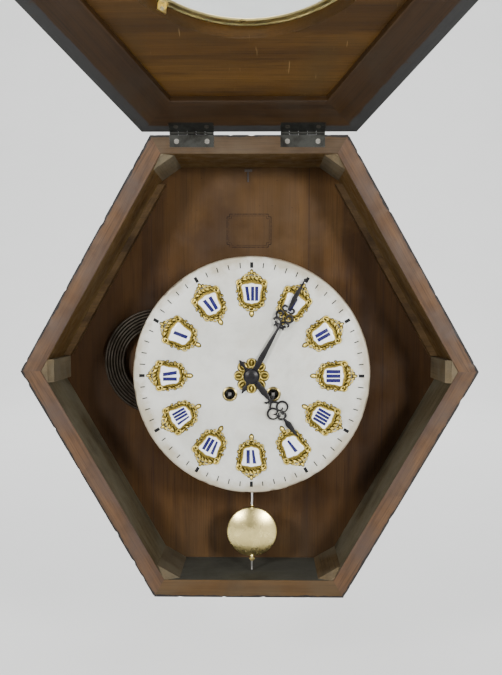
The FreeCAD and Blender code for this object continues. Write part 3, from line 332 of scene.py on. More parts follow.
def panel_material():
    """The back panel: wide reddish boards with upright grain, seams and old stains; paler at the top middle, and
    painted shade darkens it towards the sides.
    """
    s = Shader("back_panel_wood")
    colour, height = wood_layers(s, "Z", (0.02, 0.0085, 0.002), (0.046, 0.02, 0.0045), (0.076, 0.036, 0.009),
                                 3.0, 0.8)
    x = s.axis("X")
    # paler towards the top middle, round the stamp
    up = s.plus(s.axis("Z"), 0.035)
    paler_round_stamp = s.reach(x, up)
    paler_round_stamp = s.minus(1.0, s.step(paler_round_stamp, 0.04, 0.13))
    colour = s.tint(colour, paler_round_stamp, 0.45, (0.085, 0.048, 0.018))
    # painted shade: darker towards the left and right sides, where the dial and the case walls throw shadow
    sides = s.step(s.size(x), 0.09, 0.16)
    colour = s.tint(colour, sides, 0.4, (0.02, 0.009, 0.003))
    for seam in (-0.112, 0.066, 0.151):
        near = s.size(s.minus(x, seam))
        colour = s.blend(s.minus(0.85, s.step(near, 0.0002, 0.0007), clamp=True), colour, (0.02, 0.01, 0.006))
    colour = aged(s, colour, (0.024, 0.011, 0.004), 7, 0.6, 0.5, 0.72, 1.0)
    colour = aged(s, colour, (0.11, 0.064, 0.027), 11, 0.3, 0.55, 0.75, 6.0)
    low = s.times(s.axis("Z"), -1.0)
    dust = s.times(s.step(low, 0.33, 0.44), s.spots(24, 4))
    colour = s.tint(colour, dust, 0.4, (0.09, 0.07, 0.045))
    worm = s.step(s.cells(95), 0.035, 0.06)
    colour = s.blend(s.minus(0.9, worm, clamp=True), colour, (0.012, 0.007, 0.004))
    rear = s.step(s.axis("Y"), -0.0025, -0.0015)
    colour = s.blend(rear, colour, s.blend(0.5, colour, (0.3, 0.21, 0.13)))
    rough = s.uneven(40, 0.5, 0.78)
    return s.finish(Base_Color=colour, Roughness=rough, Specular_IOR_Level=0.13,
                    Normal=s.bump(height, 0.35, 0.0006))


def closed_place(s):
    """Object coordinates turned back to where the cover is when it is closed, in metres."""
    p = world(*HINGE)
    node = s.add("VectorRotate", {"rotation_type": "AXIS_ANGLE"}, Center=p, Axis=(1, 0, 0),
                 Angle=radians(COVER_OPEN))
    s.tree.links.new(s.add("TexCoord").outputs["Object"], node.inputs["Vector"])
    return node.outputs["Vector"]


def cover_panel_material():
    s = Shader("cover_panel_wood")
    v = closed_place(s)
    colour, height = wood_layers(s, "X", (0.018, 0.008, 0.001), (0.042, 0.019, 0.0026), (0.068, 0.034, 0.0055),
                                 1.5, 0.7, v)
    colour = aged(s, colour, (0.03, 0.018, 0.005), 10, 0.55, 0.48, 0.72, 2.0)
    scratch = s.step(s.noise(s.where(scale=(1, 0.1, 0.1), turn=(0, 50, 20)), 300, 2, 0.5), 0.7, 0.76)
    colour = s.tint(colour, scratch, 0.35, (0.2, 0.13, 0.05))
    edge = world(0, PANEL_FRONT + 0.5, 0).y
    hx, hz = s.axis("X", v), s.plus(s.axis("Z", v), 0.2)
    radius = s.reach(hx, hz)
    raw, _ = wood_layers(s, "X", (0.13, 0.105, 0.07), (0.24, 0.2, 0.14), (0.33, 0.28, 0.2), 5.0, 1.6, v)
    strokes = s.noise(s.where(scale=(1, 0.16, 0.5), turn=(0, 0, 38), source=v), 330, 5, 0.65, 0.6)
    raw = s.tint(raw, s.step(strokes, 0.52, 0.66), 0.75, (0.07, 0.052, 0.033))
    height = s.plus(height, s.times(strokes, -1.0))
    colour = s.blend(s.minus(1.0, s.step(radius, HOLE_EDGE, HOLE_EDGE + 0.0004)), colour, raw)
    front = s.minus(1.0, s.step(s.axis("Y", v), edge - 0.0002, edge + 0.0002))
    wall = s.step(radius, HOLE_EDGE - 0.0001, HOLE_EDGE + 0.0002)
    colour = s.tint(colour, front, wall, (0.012, 0.011, 0.011))
    rough = s.uneven(40, 0.36, 0.6)
    return s.finish(Base_Color=colour, Roughness=rough, Specular_IOR_Level=0.2,
                    Normal=s.bump(height, 0.3, 0.0005))


def rail_material(name, border, seed):
    """Cover rails: stained brown with black paint lapping over the outer edge."""
    s = Shader(name)
    colour, height = wood_layers(s, "X", (0.008, 0.0036, 0.001), (0.021, 0.0096, 0.0022), (0.038, 0.018, 0.004),
                                 seed, 0.8)
    colour = aged(s, colour, (0.016, 0.011, 0.006), 12, 0.6, 0.45, 0.7, seed)
    colour = aged(s, colour, (0.045, 0.031, 0.012), 16, 0.25, 0.6, 0.75, seed + 5)
    ragged = s.times(s.minus(s.spots(70, 5, 0.6), 0.5), 0.004)
    line = s.plus(s.axis("Z"), ragged)
    mask = s.step(line, border - 0.0012, border + 0.0008)
    chips = s.times(s.step(s.noise(s.where(move=(3, 1, 5)), 120, 5, 0.7), 0.6, 0.7), 0.6)
    mask = s.times(mask, s.minus(1.0, chips))
    colour = s.blend(mask, colour, (0.018, 0.018, 0.018))
    rough = s.uneven(40, 0.36, 0.62)
    return s.finish(Base_Color=colour, Roughness=rough, Specular_IOR_Level=0.2,
                    Normal=s.bump(height, 0.3, 0.0005))


def alabaster():
    s = Shader("alabaster")
    cloud = s.spots(16, 6, 0.6, 0.5)
    colour = s.ramp(cloud, (0.3, (0.41, 0.415, 0.375)), (0.5, (0.51, 0.52, 0.485)), (0.75, (0.58, 0.59, 0.555)))
    colour = aged(s, colour, (0.4, 0.37, 0.3), 26, 0.4, 0.5, 0.7, 2.0)
    vein = s.size(s.minus(s.noise(s.where(move=(2, 5, 3)), 9, 6, 0.65, 0.8), 0.5))
    colour = s.blend(s.minus(0.22, s.times(s.step(vein, 0.0, 0.03), 0.22)), colour, (0.42, 0.42, 0.4))
    x = s.minus(s.axis("X"), MX / 1000)
    z = s.minus(s.axis("Z"), world(0, 0, MZ).z)
    radius = s.reach(x, z)
    ragged = s.times(s.minus(s.spots(26, 6, 0.65), 0.5), 0.045)
    stain = s.step(s.plus(radius, ragged), 0.109, 0.121)
    colour = s.tint(colour, stain, 0.7, (0.26, 0.215, 0.12))
    rim = s.step(s.plus(radius, s.times(ragged, 0.12)), 0.1206, 0.1226)
    colour = s.tint(colour, rim, 0.75, (0.19, 0.145, 0.1))
    specks = s.step(s.cells(60), 0.012, 0.022)
    colour = s.blend(s.minus(0.7, specks, clamp=True), colour, (0.1, 0.09, 0.08))
    rough = s.uneven(80, 0.34, 0.48)
    return s.finish(Base_Color=colour, Roughness=rough, Subsurface_Weight=0.12,
                    Subsurface_Radius=(0.004, 0.0035, 0.003),
                    Subsurface_Scale=0.5, Normal=s.bump(s.spots(240, 5, 0.6), 0.05, 0.0003))


def enamel(name, colour, other, rough):
    s = Shader(name)
    tone = s.blend(s.step(s.spots(160, 4, 0.6), 0.45, 0.75), colour, other)
    crack = s.minus(1.0, s.step(s.cells(150, "DISTANCE_TO_EDGE"), 0.0, 0.012))
    tone = s.tint(tone, crack, 0.12, tuple(0.5 * c for c in colour))
    return s.finish(Base_Color=tone, Roughness=rough, Coat_Weight=0.5, Coat_Roughness=0.08,
                    Normal=s.bump(s.spots(300, 3), 0.04, 0.0002))


def ink(name, colour, fade, scale=260, lose=0.75):
    """Old paint or ink with worn gaps."""
    s = Shader(name)
    worn = s.spots(scale, 5, 0.7)
    gap = s.step(worn, lose - 0.1, lose)
    tone = s.blend(gap, colour, fade)
    return s.finish(Base_Color=tone, Roughness=0.6, Specular_IOR_Level=0.12, Normal=s.bump(worn, 0.1, 0.0001))


def clear_glass():
    s = Shader("clear_glass")
    smear = s.noise(s.where(scale=(1, 1, 0.4)), 24, 5, 0.6, 1.0)
    rough = s.ramp(smear, (0.4, 0.005), (0.8, 0.04))
    tone = s.ramp(smear, (0.3, (0.93, 0.96, 0.95)), (0.8, (0.88, 0.91, 0.9)))
    return s.finish(Base_Color=tone, Roughness=rough, Transmission_Weight=1.0, IOR=1.46, Metallic=0.0,
                    Normal=s.bump(s.spots(6, 1), 0.004, 0.0003))


M["panel"] = panel_material()
M["cover_panel"] = cover_panel_material()
M["rail_side"] = rail_material("cover_rail_side", 0.0365, 2.0)
M["rail_hinge"] = rail_material("cover_rail_hinge", 0.0335, 6.0)
M["dial"] = alabaster()
M["enamel"] = enamel("white_enamel", (0.78, 0.8, 0.82), (0.7, 0.73, 0.77), 0.16)
M["blue"] = enamel("blue_enamel", (0.006, 0.005, 0.075), (0.01, 0.009, 0.12), 0.26)
M["faint_blue"] = enamel("faded_blue_enamel", (0.5, 0.53, 0.66), (0.6, 0.63, 0.7), 0.25)
M["track"] = ink("minute_track_paint", (0.006, 0.006, 0.007), (0.07, 0.07, 0.068), 900, 0.74)
M["faint_track"] = ink("minute_ring_paint", (0.33, 0.33, 0.32), (0.55, 0.55, 0.53), 300, 0.55)
M["stamp"] = ink("old_stamp_ink", (0.011, 0.006, 0.003), (0.04, 0.019, 0.007), 420, 0.6)
M["glass"] = clear_glass()
M["gilt"] = gilt("gilt_brass", 0.55, 2.1)
M["gilt_low"] = gilt("gilt_rosette_brass", 0.15, 1.15)
M["grommet"] = grommet()
# finish, its colour, its tarnish, roughness and how far the tarnish has spread
for key, *look in (
    ("brass", "polished_brass", (0.7, 0.58, 0.25), (0.42, 0.33, 0.13), 0.2, 0.45),
    ("bezel", "bezel_brass", (0.6, 0.47, 0.19), (0.22, 0.17, 0.06), 0.24, 0.6),
    ("old_brass", "tarnished_brass", (0.52, 0.38, 0.17), (0.2, 0.14, 0.07), 0.34, 0.75),
    ("hinge", "hinge_metal", (0.032, 0.033, 0.03), (0.012, 0.011, 0.009), 0.4, 0.8),
    ("dark_screw", "dark_screws", (0.07, 0.065, 0.055), (0.03, 0.026, 0.02), 0.4, 0.7),
    ("worn_screw", "worn_screws", (0.16, 0.155, 0.14), (0.06, 0.055, 0.045), 0.38, 0.6),
    ("square", "winding_square", (0.16, 0.155, 0.145), (0.08, 0.075, 0.07), 0.45, 0.6),
    ("steel", "aged_steel", (0.5, 0.49, 0.47), (0.26, 0.23, 0.2), 0.3, 0.6),
    ("rod", "bright_steel_rod", (0.66, 0.65, 0.63), (0.4, 0.37, 0.33), 0.22, 0.4),
    ("iron", "dark_iron", (0.09, 0.08, 0.075), (0.05, 0.035, 0.025), 0.5, 0.7),
    ("gong", "gong_steel", (0.045, 0.038, 0.03), (0.02, 0.014, 0.009), 0.42, 0.7),
):
    M[key] = metal(*look)
M["hand"] = black_steel()


# ------------------------------------------------------------------ mesh helpers
def in_scene(name, data):
    o = bpy.data.objects.new(name, data)
    bpy.context.scene.collection.objects.link(o)
    return o


def put(name, mesh, body, replaces=(), at=None):
    """Rides a mesh on a body and the CAD nodes it stands for."""
    o = in_scene(name, mesh)
    o.matrix_world = at or Matrix.Identity(4)
    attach(o, body)
    if replaces:
        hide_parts(*replaces)
    return o


def face_outward(mesh):
    work = bmesh.new()
    work.from_mesh(mesh)
    bmesh.ops.recalc_face_normals(work, faces=work.faces)
    work.to_mesh(mesh)
    work.free()


def soften(mesh, angle):
    mesh.shade_smooth()
    mesh.set_sharp_from_angle(angle=radians(angle))


def turns(count):
    """Angles once round a circle."""
    return [2 * pi * k / count for k in range(count)]


class Build:
    """Collects shells of vertices and faces, in millimetres, into one mesh."""

    def __init__(self):
        self.verts, self.faces, self.picks = [], [], []

    def add(self, verts, faces, pick=0):
        n = len(self.verts)
        self.verts += [tuple(v) for v in verts]
        self.faces += [tuple(i + n for i in f) for f in faces]
        self.picks += [pick] * len(faces)

    def grid(self, rows, close_across=False, pick=0):
        """Joins rows of points, each row the same length."""
        n = len(rows[0])
        faces = []
        for j in range(len(rows) - 1):
            for i in range(n if close_across else n - 1):
                a, b = j * n + i, j * n + (i + 1) % n
                faces.append((a, b, b + n, a + n))
        self.add([p for row in rows for p in row], faces, pick)

    def tube(self, path, radius, squash=1.0):
        """A tapering tube in the x-z plane; radius is a function of 0..1, squash flattens it in y."""
        sides, last = 8, len(path) - 1
        rows = []
        for i, (x, y, z) in enumerate(path):
            ax, _, az = path[max(0, i - 1)]
            bx, _, bz = path[min(last, i + 1)]
            length = hypot(bx - ax, bz - az) or 1.0
            nx, nz = -(bz - az) / length, (bx - ax) / length
            r = max(0.02, radius(i / last))
            rows.append([(x + nx * r * cos(t), y + r * squash * sin(t), z + nz * r * cos(t))
                         for t in turns(sides)])
        self.grid(rows, close_across=True)
        for first in (len(self.verts) - sides, len(self.verts) - len(path) * sides):
            self.faces.append(tuple(range(first, first + sides)))
            self.picks.append(0)

    def bead(self, x, y, z, rx, rz, height, turn=0.0):
        """Half an ellipsoid standing out towards -y."""
        rows = []
        for j in range(5):
            a = pi / 2 * j / 4
            rows.append([])
            for t in turns(12):
                u, v = rx * cos(a) * cos(t), rz * cos(a) * sin(t)
                rows[-1].append((x + u * cos(turn) - v * sin(turn), y - height * sin(a),
                                 z + u * sin(turn) + v * cos(turn)))
        self.grid(rows, close_across=True)

    def ridge(self, outline, height, edge=0.6):
        """A flat pointed shape with a raised spine: outline is (half width, z) from tail to tip."""
        rows = []
        for w, z in outline:
            w = max(w, 0.03)
            top = -edge - min(height, w * 0.8)
            rows.append([(-w, 0, z), (-w, -edge, z), (0, top, z), (w, -edge, z), (w, 0, z)])
        self.grid(rows, close_across=True)

    def lathe(self, profile, sides=48):
        """A turned shape about z from (radius, z) points."""
        self.grid([[(max(r, 0.01) * cos(a), max(r, 0.01) * sin(a), z) for a in turns(sides)]
                   for r, z in profile], close_across=True)

    def mesh(self, name):
        mesh = bpy.data.meshes.new(name)
        mesh.from_pydata([tuple(c / 1000 for c in v) for v in self.verts], [], self.faces)
        return mesh

    def make(self, name, materials, body, slot, replaces=(), at=None, smooth=None):
        """Makes the piece about `at`, gives it its finish and rides it on a body."""
        mesh = self.mesh(name)
        for m in materials:
            mesh.materials.append(M[m])
        for polygon, pick in zip(mesh.polygons, self.picks):
            polygon.material_index = pick
        mesh.update()
        face_outward(mesh)
        if smooth is not None:
            soften(mesh, smooth)
        return put(name, mesh, body, replaces, at)


def spiral(cx, cz, r0, r1, a0, a1, y=0.0, steps=18):
    """Points of a flat spiral from radius r0 at angle a0 to r1 at a1, in degrees."""
    out = []
    for i in range(steps + 1):
        t = i / steps
        a, r = radians(a0 + (a1 - a0) * t), r0 + (r1 - r0) * t
        out.append((cx + r * cos(a), y, cz + r * sin(a)))
    return out


# ------------------------------------------------------------------ boards
def hexagon(inset, top=None):
    half_w = HALF_WIDTH - inset / cos(SLANT)
    low = HALF_HEIGHT - inset
    high = low if top is None else top

    def half_at(z):
        return half_w - z * tan(SLANT)

    # clockwise from the top left, so that each side's outward direction is on its left
    return [(-half_at(high), high), (half_at(high), high), (half_w, 0), (half_at(low), -low),
            (-half_at(low), -low), (-half_w, 0)]


def board(name, outer, inner, i, y0, y1, materials, body, slot, replaces=(), turn=None, chip=0.0, corner=0.7,
          seed=0):
    """One mitred board with rounded edges, slight unevenness and chips along its outer front edge."""
    (ax, az), (bx, bz) = outer[i], outer[(i + 1) % 6]
    (cx, cz), (dx, dz) = inner[i], inner[(i + 1) % 6]
    length = hypot(bx - ax, bz - az)
    ux, uz = (bx - ax) / length, (bz - az) / length
    ox, oz = (cx + dx) / 2, (cz + dz) / 2
    thick = (ax - ox) * -uz + (az - oz) * ux
    ends_in = ((cx - ox) * ux + (cz - oz) * uz, (dx - ox) * ux + (dz - oz) * uz)
    ends_out = ((ax - ox) * ux + (az - oz) * uz, (bx - ox) * ux + (bz - oz) * uz)
    # the section as one loop: front, outside, back, inside, with rounded corners
    ring = []
    corners = [(y0, 0.0, 1, 1), (y0, thick, 1, -1), (y1, thick, -1, -1), (y1, 0.0, -1, 1)]
    for k, (y, t, sy, st) in enumerate(corners):
        for j in range(4):
            a = pi / 2 * j / 3
            u, v = (cos(a), sin(a)) if k % 2 else (sin(a), cos(a))
            ring.append((y + sy * corner * (1 - u), t + st * corner * (1 - v)))
        ny, nt = corners[(k + 1) % 4][:2]
        steps = max(2, int(hypot(ny - y, nt - t) / 6))
        for j in range(1, steps):
            f = j / steps
            ring.append((y + (ny - y) * f, t + (nt - t) * f))
    n_along = max(24, int(length / 2.5))
    rows = []
    for j in range(n_along + 1):
        s = j / n_along
        row = []
        for y, t in ring:
            f = t / thick
            x0 = ends_in[0] + (ends_out[0] - ends_in[0]) * f
            x1 = ends_in[1] + (ends_out[1] - ends_in[1]) * f
            x = x0 + (x1 - x0) * s
            wave = 0.12 * (noise.noise(Vector((x * 0.03 + seed * 9, y * 0.05, t * 0.05))))
            py, pt = y, t
            if t > thick - 0.9:
                pt = min(thick, pt - 0.06 + wave)
            if y < y0 + 0.9:
                py = max(y0, py + 0.06 + wave)
            if chip and y < y0 + 1.3 and t > thick - 1.3:
                bite = smoothstep(0.3, 0.6, noise.fractal(Vector((x * 0.09 + seed * 31, seed, 0.0)), 0.6, 2.0, 5))
                py += chip * bite * 0.8
                pt -= chip * bite
            row.append((x, py, pt))
        rows.append(row)
    b = Build()
    n = len(ring)
    b.grid(rows, close_across=True)
    picks = []
    for face in b.faces:
        ys = [b.verts[v][1] for v in face]
        ts = [b.verts[v][2] for v in face]
        if min(ts) >= thick - corner - 0.2 and max(ys) > y0 + corner * 0.7:
            picks.append(1)
        elif max(ys) <= y0 + corner + 0.3:
            picks.append(0)
        elif min(ys) >= y1 - corner - 0.1:
            picks.append(3)
        else:
            picks.append(2)
    b.faces.append(tuple(range(n)))
    b.faces.append(tuple(range(len(b.verts) - n, len(b.verts))))
    picks += [2, 2]
    b.picks = picks
    at = Matrix(((ux, 0, -uz, 0), (0, 1, 0, 0), (uz, 0, ux, 0), (0, 0, 0, 1)))
    at = Matrix.Translation(world(ox, 0, oz)) @ at
    if turn:
        at = turn @ at
    return b.make(name, materials, body, slot, replaces=replaces, at=at, smooth=35)


def carve(o, blocks):
    """Cuts boxes, given as (low corner, high corner, matrix) in millimetres, out of a mesh for good."""
    for low, high, matrix in blocks:
        corners = [matrix @ world(*[(low, high)[(k >> i) & 1][i] for i in range(3)]) for k in range(8)]
        mesh = bpy.data.meshes.new("cutter")
        mesh.from_pydata(corners, [], [(0, 1, 3, 2), (4, 6, 7, 5), (0, 4, 5, 1), (2, 3, 7, 6), (0, 2, 6, 4),
                                       (1, 5, 7, 3)])
        face_outward(mesh)
        cutter = in_scene("cutter", mesh)
        cut = o.modifiers.new("cut", "BOOLEAN")
        cut.operation, cut.solver, cut.object = "DIFFERENCE", "EXACT", cutter
        bpy.context.view_layer.update()
        shaped = bpy.data.meshes.new_from_object(o.evaluated_get(bpy.context.evaluated_depsgraph_get()))
        o.modifiers.remove(cut)
        o.data = shaped
        bpy.data.objects.remove(cutter)


def leaf_seats(y0, y1, matrix):
    """The shallow cuts that the hinge leaves lie in."""
    return [((x - LEAF_HALF, y0, LEAF_LOW - 0.02), (x + LEAF_HALF, y1, HINGE[2] + 6), matrix) for x in HINGE_X]


def case_boards():
    outer, inner = hexagon(0), hexagon(BOARD_T)
    names = ["board_top", "board_upper_right", "board_lower_right", "board_bottom", "board_lower_left",
             "board_upper_left"]
    for i, name in enumerate(names):
        rim = "rim_top" if i == 0 else ("rim_low" if i == 3 else "rim_slant")
        inside = "inner_floor" if i == 3 else ("inner_up" if i in (0, 1, 5) else "inner_low")
        o = board(name + "_wood", outer, inner, i, 0.0, DEPTH, [rim, "black", inside, "raw"], "case",
                  "painted_wood", (name,), chip=0.8, seed=i)
        if i == 0:
            carve(o, leaf_seats(-1.0, 1.42, Matrix.Identity(4)))


def cover_boards():
    outer = hexagon(-COVER_OVER, COVER_TOP)
    inner = hexagon(RAIL_W - COVER_OVER, COVER_TOP - TOP_RAIL_W)
    for i in range(6):
        face = "rail_side" if i else "rail_hinge"
        o = board(f"cover_rail_{i}", outer, inner, i, PANEL_BACK, -0.4,
                  ["black_cover", "black_cover", face, face],
                  "cover", "cover_wood", ("cover_rails",), turn=opened(), corner=0.6, seed=i + 10)
        if i == 0:
            carve(o, leaf_seats(-1.82, 1.0, opened()))


# ------------------------------------------------------------------ dial
def dial_disc():
    """The stone disc with an uneven chipped edge; the arbor and winding holes stay open."""
    sides = 288
    holes = [(0.0, 0.0, 5.0), (-WIND_X, WIND_Z, WIND_R), (WIND_X, WIND_Z, WIND_R)]
    work = bmesh.new()
    loops = []
    edge = []
    for a in turns(sides):
        wear = noise.fractal(Vector((cos(a) * 9, sin(a) * 9, 4.0)), 0.7, 2.0, 5)
        edge.append(DIAL_R - 0.25 - 1.1 * smoothstep(0.1, 0.55, wear) - 0.25 * abs(wear))
    profile = [(0.0, 0.0, DIAL_BACK), (0.0, 0.6, DIAL_BACK - 2.6), (0.25, 0.9, DIAL_FRONT + 1.4),
               (0.75, 1.0, DIAL_FRONT + 0.6), (1.6, 1.0, DIAL_FRONT + 0.12), (2.6, 1.0, DIAL_FRONT)]
    rings = []
    for inset, follow, y in profile:
        ring = []
        for a, worn in zip(turns(sides), edge):
            r = DIAL_R - inset - (DIAL_R - worn) * follow
            ring.append(work.verts.new((r * cos(a), y, r * sin(a))))
        rings.append(ring)
    for lower, upper in zip(rings, rings[1:]):
        for k in range(sides):
            work.faces.new((lower[k], lower[(k + 1) % sides], upper[(k + 1) % sides], upper[k]))

    def rim_edges(ring):
        return [work.edges.get((ring[k], ring[(k + 1) % len(ring)])) or
                work.edges.new((ring[k], ring[(k + 1) % len(ring)])) for k in range(len(ring))]

    for y, outer in ((DIAL_FRONT, rings[-1]), (DIAL_BACK, rings[0])):
        edges = rim_edges(outer)
        here = []
        for x, z, r in holes:
            ring = [work.verts.new((x + r * cos(a), y, z + r * sin(a))) for a in turns(40)]
            edges += rim_edges(ring)
            here.append(ring)
        bmesh.ops.triangle_fill(work, use_beauty=True, use_dissolve=False, edges=edges,
                                normal=(0, -1 if y == DIAL_FRONT else 1, 0))
        loops.append(here)
    for a, c in zip(*loops):
        for k in range(40):
            work.faces.new((a[k], a[(k + 1) % 40], c[(k + 1) % 40], c[k]))
    bmesh.ops.recalc_face_normals(work, faces=work.faces)
    for v in work.verts:
        v.co = world(v.co.x + MX, v.co.y, v.co.z + MZ)
    mesh = bpy.data.meshes.new("dial_stone")
    work.to_mesh(mesh)
    work.free()
    mesh.materials.append(M["dial"])
    soften(mesh, 40)
    put("dial_stone", mesh, "case", ("dial_plate",))


def minute_track():
    b = Build()
    rng = random.Random(5)
    y = DIAL_FRONT - 0.03
    for m in range(60):
        bold = m % 5 == 0
        half = 1.6 if bold else 0.55
        low, high = (110.6, 116.4) if bold else (110.6 + rng.uniform(-0.2, 0.5), 116.2 + rng.uniform(-0.6, 0.2))
        a = radians(6 * m)
        lean = 0 if bold else rng.uniform(-0.25, 0.25)
        corners = [(-half, low), (half, low), (half + lean, high), (-half + lean, high)]
        points = [(u * cos(a) + v * sin(a), y, v * cos(a) - u * sin(a)) for u, v in corners]
        back = [(x, DIAL_FRONT + 0.05, z) for x, _, z in points]
        b.add(points + back, [(0, 1, 2, 3), (0, 1, 5, 4), (1, 2, 6, 5), (2, 3, 7, 6), (3, 0, 4, 7)])
    circle = [radians(k) for k in range(361)]
    b.grid([[(r * cos(a), y + 0.01, r * sin(a)) for r in (TRACK_R - 0.09, TRACK_R + 0.09)] for a in circle],
           pick=1)
    b.make("minute_track", ["track", "faint_track"], "case", "alabaster", at=place(MX, 0, MZ))


SHIELD = [(0, 9.9), (3.6, 8.9), (6.6, 8.7), (9.2, 8.2), (9.8, 6.4), (8.8, 3.6), (8.1, 0.8), (7.5, -3.0),
          (7.4, -6.6), (5.8, -8.5), (2.4, -9.0), (0, -10.0)]
SHIELD_SIDES = 144


def polar_curve(points):
    """A function of angle for a star-shaped outline given as (x, z) points, smooth between them."""
    full = points + [(-x, z) for x, z in reversed(points) if abs(x) > 1e-6]
    table = sorted((atan2(x, z) % (2 * pi), hypot(x, z)) for x, z in full)

    def radius(angle):
        angle %= 2 * pi
        before = table[-1][0] - 2 * pi, table[-1][1]
        for a, r in table + [(table[0][0] + 2 * pi, table[0][1])]:
            if angle <= a:
                f = (angle - before[0]) / max(1e-9, a - before[0])
                return before[1] + (r - before[1]) * f
            before = (a, r)
        return table[0][1]

    return radius


def plaque_height(x, z, edge):
    """How far the enamel stands out from the dial at a point of the plaque."""
    share = hypot(x, z) / edge(atan2(x, z))
    return 1.55 + 0.35 * (1.0 - min(1.0, share) ** 2)


def shield_mesh():
    """One enamel plaque, slightly domed, about its own middle."""
    b = Build()
    edge = polar_curve(SHIELD)
    rows = []
    for share, lift in ((1.06, 0.0), (1.06, 1.2), (1.03, 1.45), (1.0, 0), (0.85, 0), (0.65, 0), (0.45, 0),
                        (0.25, 0), (0.05, 0)):
        row = []
        for a in turns(SHIELD_SIDES):
            x, z = edge(a) * share * sin(a), edge(a) * share * cos(a)
            row.append((x, -(lift if share > 1.0 else plaque_height(x, z, edge)), z))
        rows.append(row)
    b.grid(rows, close_across=True)
    n = len(b.verts)
    b.faces.append(tuple(range(n - SHIELD_SIDES, n)))
    b.picks.append(0)
    return b


def cartouche_mesh():
    """One cast gilt mount: a scalloped leafy border round the plaque, a crown and a drop."""
    b = Build()
    inner = polar_curve([(x * 0.99, z * 0.99) for x, z in SHIELD])
    body = [(0, 18.6), (3.2, 18.4), (6.4, 17.8), (9.6, 16.6), (13.2, 14.4), (16.0, 10.6), (16.6, 7.2),
            (15.2, 4.4),
            (14.4, 1.0), (14.8, -2.6), (14.4, -6.4), (12.8, -10.0), (10.0, -12.8), (6.6, -14.8), (3.4, -16.0),
            (0, -16.6)]
    outer = polar_curve(body)
    around, across = 216, 18
    rows = []
    for j in range(across + 1):
        s = j / across
        row = []
        for a in turns(around):
            lobes = abs(cos(a * 10 + 0.9 * sin(a * 3)))
            r0, r1 = inner(a), outer(a) + 0.9 * lobes - 0.9
            r = r0 + (r1 - r0) * s
            rope = exp(-((s - 0.13) / 0.1) ** 2) * (1 + 0.12 * cos(a * 56))
            leaf = smoothstep(0.34, 0.5, s) * (1 - smoothstep(0.88, 1.0, s))
            curl = abs(sin(a * 10 + 0.9 * sin(a * 3) + 1.1 * sin(s * 11)) * cos((s - 0.74) * 6.5))
            height = 1.15 * smoothstep(0.0, 0.09, s) + 0.3 * rope
            height += leaf * (1.85 * curl ** 0.7 - 0.6 + 0.18 * sin(a * 33 + s * 9))
            if j == across:
                height = 0.0
            row.append((r * sin(a), -height, r * cos(a)))
        rows.append(row)
    rows.insert(0, [(x, 0.0, z) for x, _, z in rows[0]])
    b.grid(rows, close_across=True)
    # spirals: middle, radii, angles, height and steps, then the tube's radius and its taper
    curls = [(12.4, 10.4, 3.8, 1.0, 100, -280, -1.7, 22, 0.95, 0.35),
             (4.4, 17.6, 2.9, 0.8, -30, 300, -1.7, 20, 0.85, 0.3),
             (10.6, -10.4, 3.0, 0.9, -150, 190, -1.6, 20, 0.85, 0.3),
             (3.4, -16.0, 2.3, 0.7, 40, -280, -1.6, 18, 0.8, 0.25)]
    # beads in pairs: x, z, half widths, height and lean
    pairs = [(2.6, 20.4, 1.7, 2.2, 1.7, -0.5), (15.2, 2.2, 1.3, 1.9, 1.7, 0.2), (14.0, -5.4, 1.3, 1.9, 1.7, -0.2),
             (7.6, -14.2, 1.6, 1.5, 1.7, 0.0), (8.8, 16.6, 1.7, 1.4, 1.8, -0.5)]
    for side in (-1, 1):
        for *shape, fat, taper in curls:
            b.tube([(side * x, y, z) for x, y, z in spiral(*shape)], lambda t: fat - taper * t)
        for x, z, rx, rz, high, lean in pairs:
            b.bead(side * x, 0, z, rx, rz, high, side * lean)
    for z, rx, rz, high in ((22.0, 1.9, 3.0, 2.1), (17.2, 1.7, 1.7, 2.3), (-17.4, 3.0, 1.2, 2.1),
                            (-20.6, 2.7, 3.6, 2.3), (-22.6, 1.3, 1.9, 1.5)):
        b.bead(0, 0, z, rx, rz, high)
    return b


NUMERALS = {1: "I", 2: "II", 3: "III", 4: "IIII", 5: "V", 6: "VI", 7: "VII", 8: "VIII", 9: "IX", 10: "X",
            11: "XI", 12: "XII"}


def numeral(text):
    """Bold strokes with fine hairlines and serifs, centred, about 14 high; returns (points, pick) quads."""
    thick, high = 3.7, 14.4
    advance = {"I": 4.6, "V": 6.8, "X": 6.8}
    total = sum(advance[c] for c in text)
    squeeze = min(1.0, 14.4 / total)
    x = -total * squeeze / 2
    quads = []
    top, low = high / 2, -high / 2
    for c in text:
        w = advance[c] * squeeze
        t = thick * squeeze
        mid = x + w / 2
        if c == "I":
            quads.append(([(mid - t / 2, low), (mid + t / 2, low), (mid + t / 2, top), (mid - t / 2, top)], 0))
        elif c == "V":
            left = x + 0.5 * squeeze
            quads.append(([(mid - t * 0.1, low), (mid + t * 0.55, low), (left + t, top), (left, top)], 0))
            quads.append(([(mid + t * 0.2, low), (mid + t * 0.36, low), (x + w - 0.5, top), (x + w - 0.66, top)],
                          1))
        else:
            left = x + 0.4 * squeeze
            right = x + w - 0.4 * squeeze
            quads.append(([(right - t, low), (right, low), (left + t, top), (left, top)], 0))
            quads.append(([(left, low), (left + 0.16, low), (right, top), (right - 0.16, top)], 1))
        for z in (low, top):
            quads.append(([(x + 0.3, z - 0.09), (x + w - 0.3, z - 0.09), (x + w - 0.3, z + 0.09),
                           (x + 0.3, z + 0.09)], 1))
        x += w
    return quads


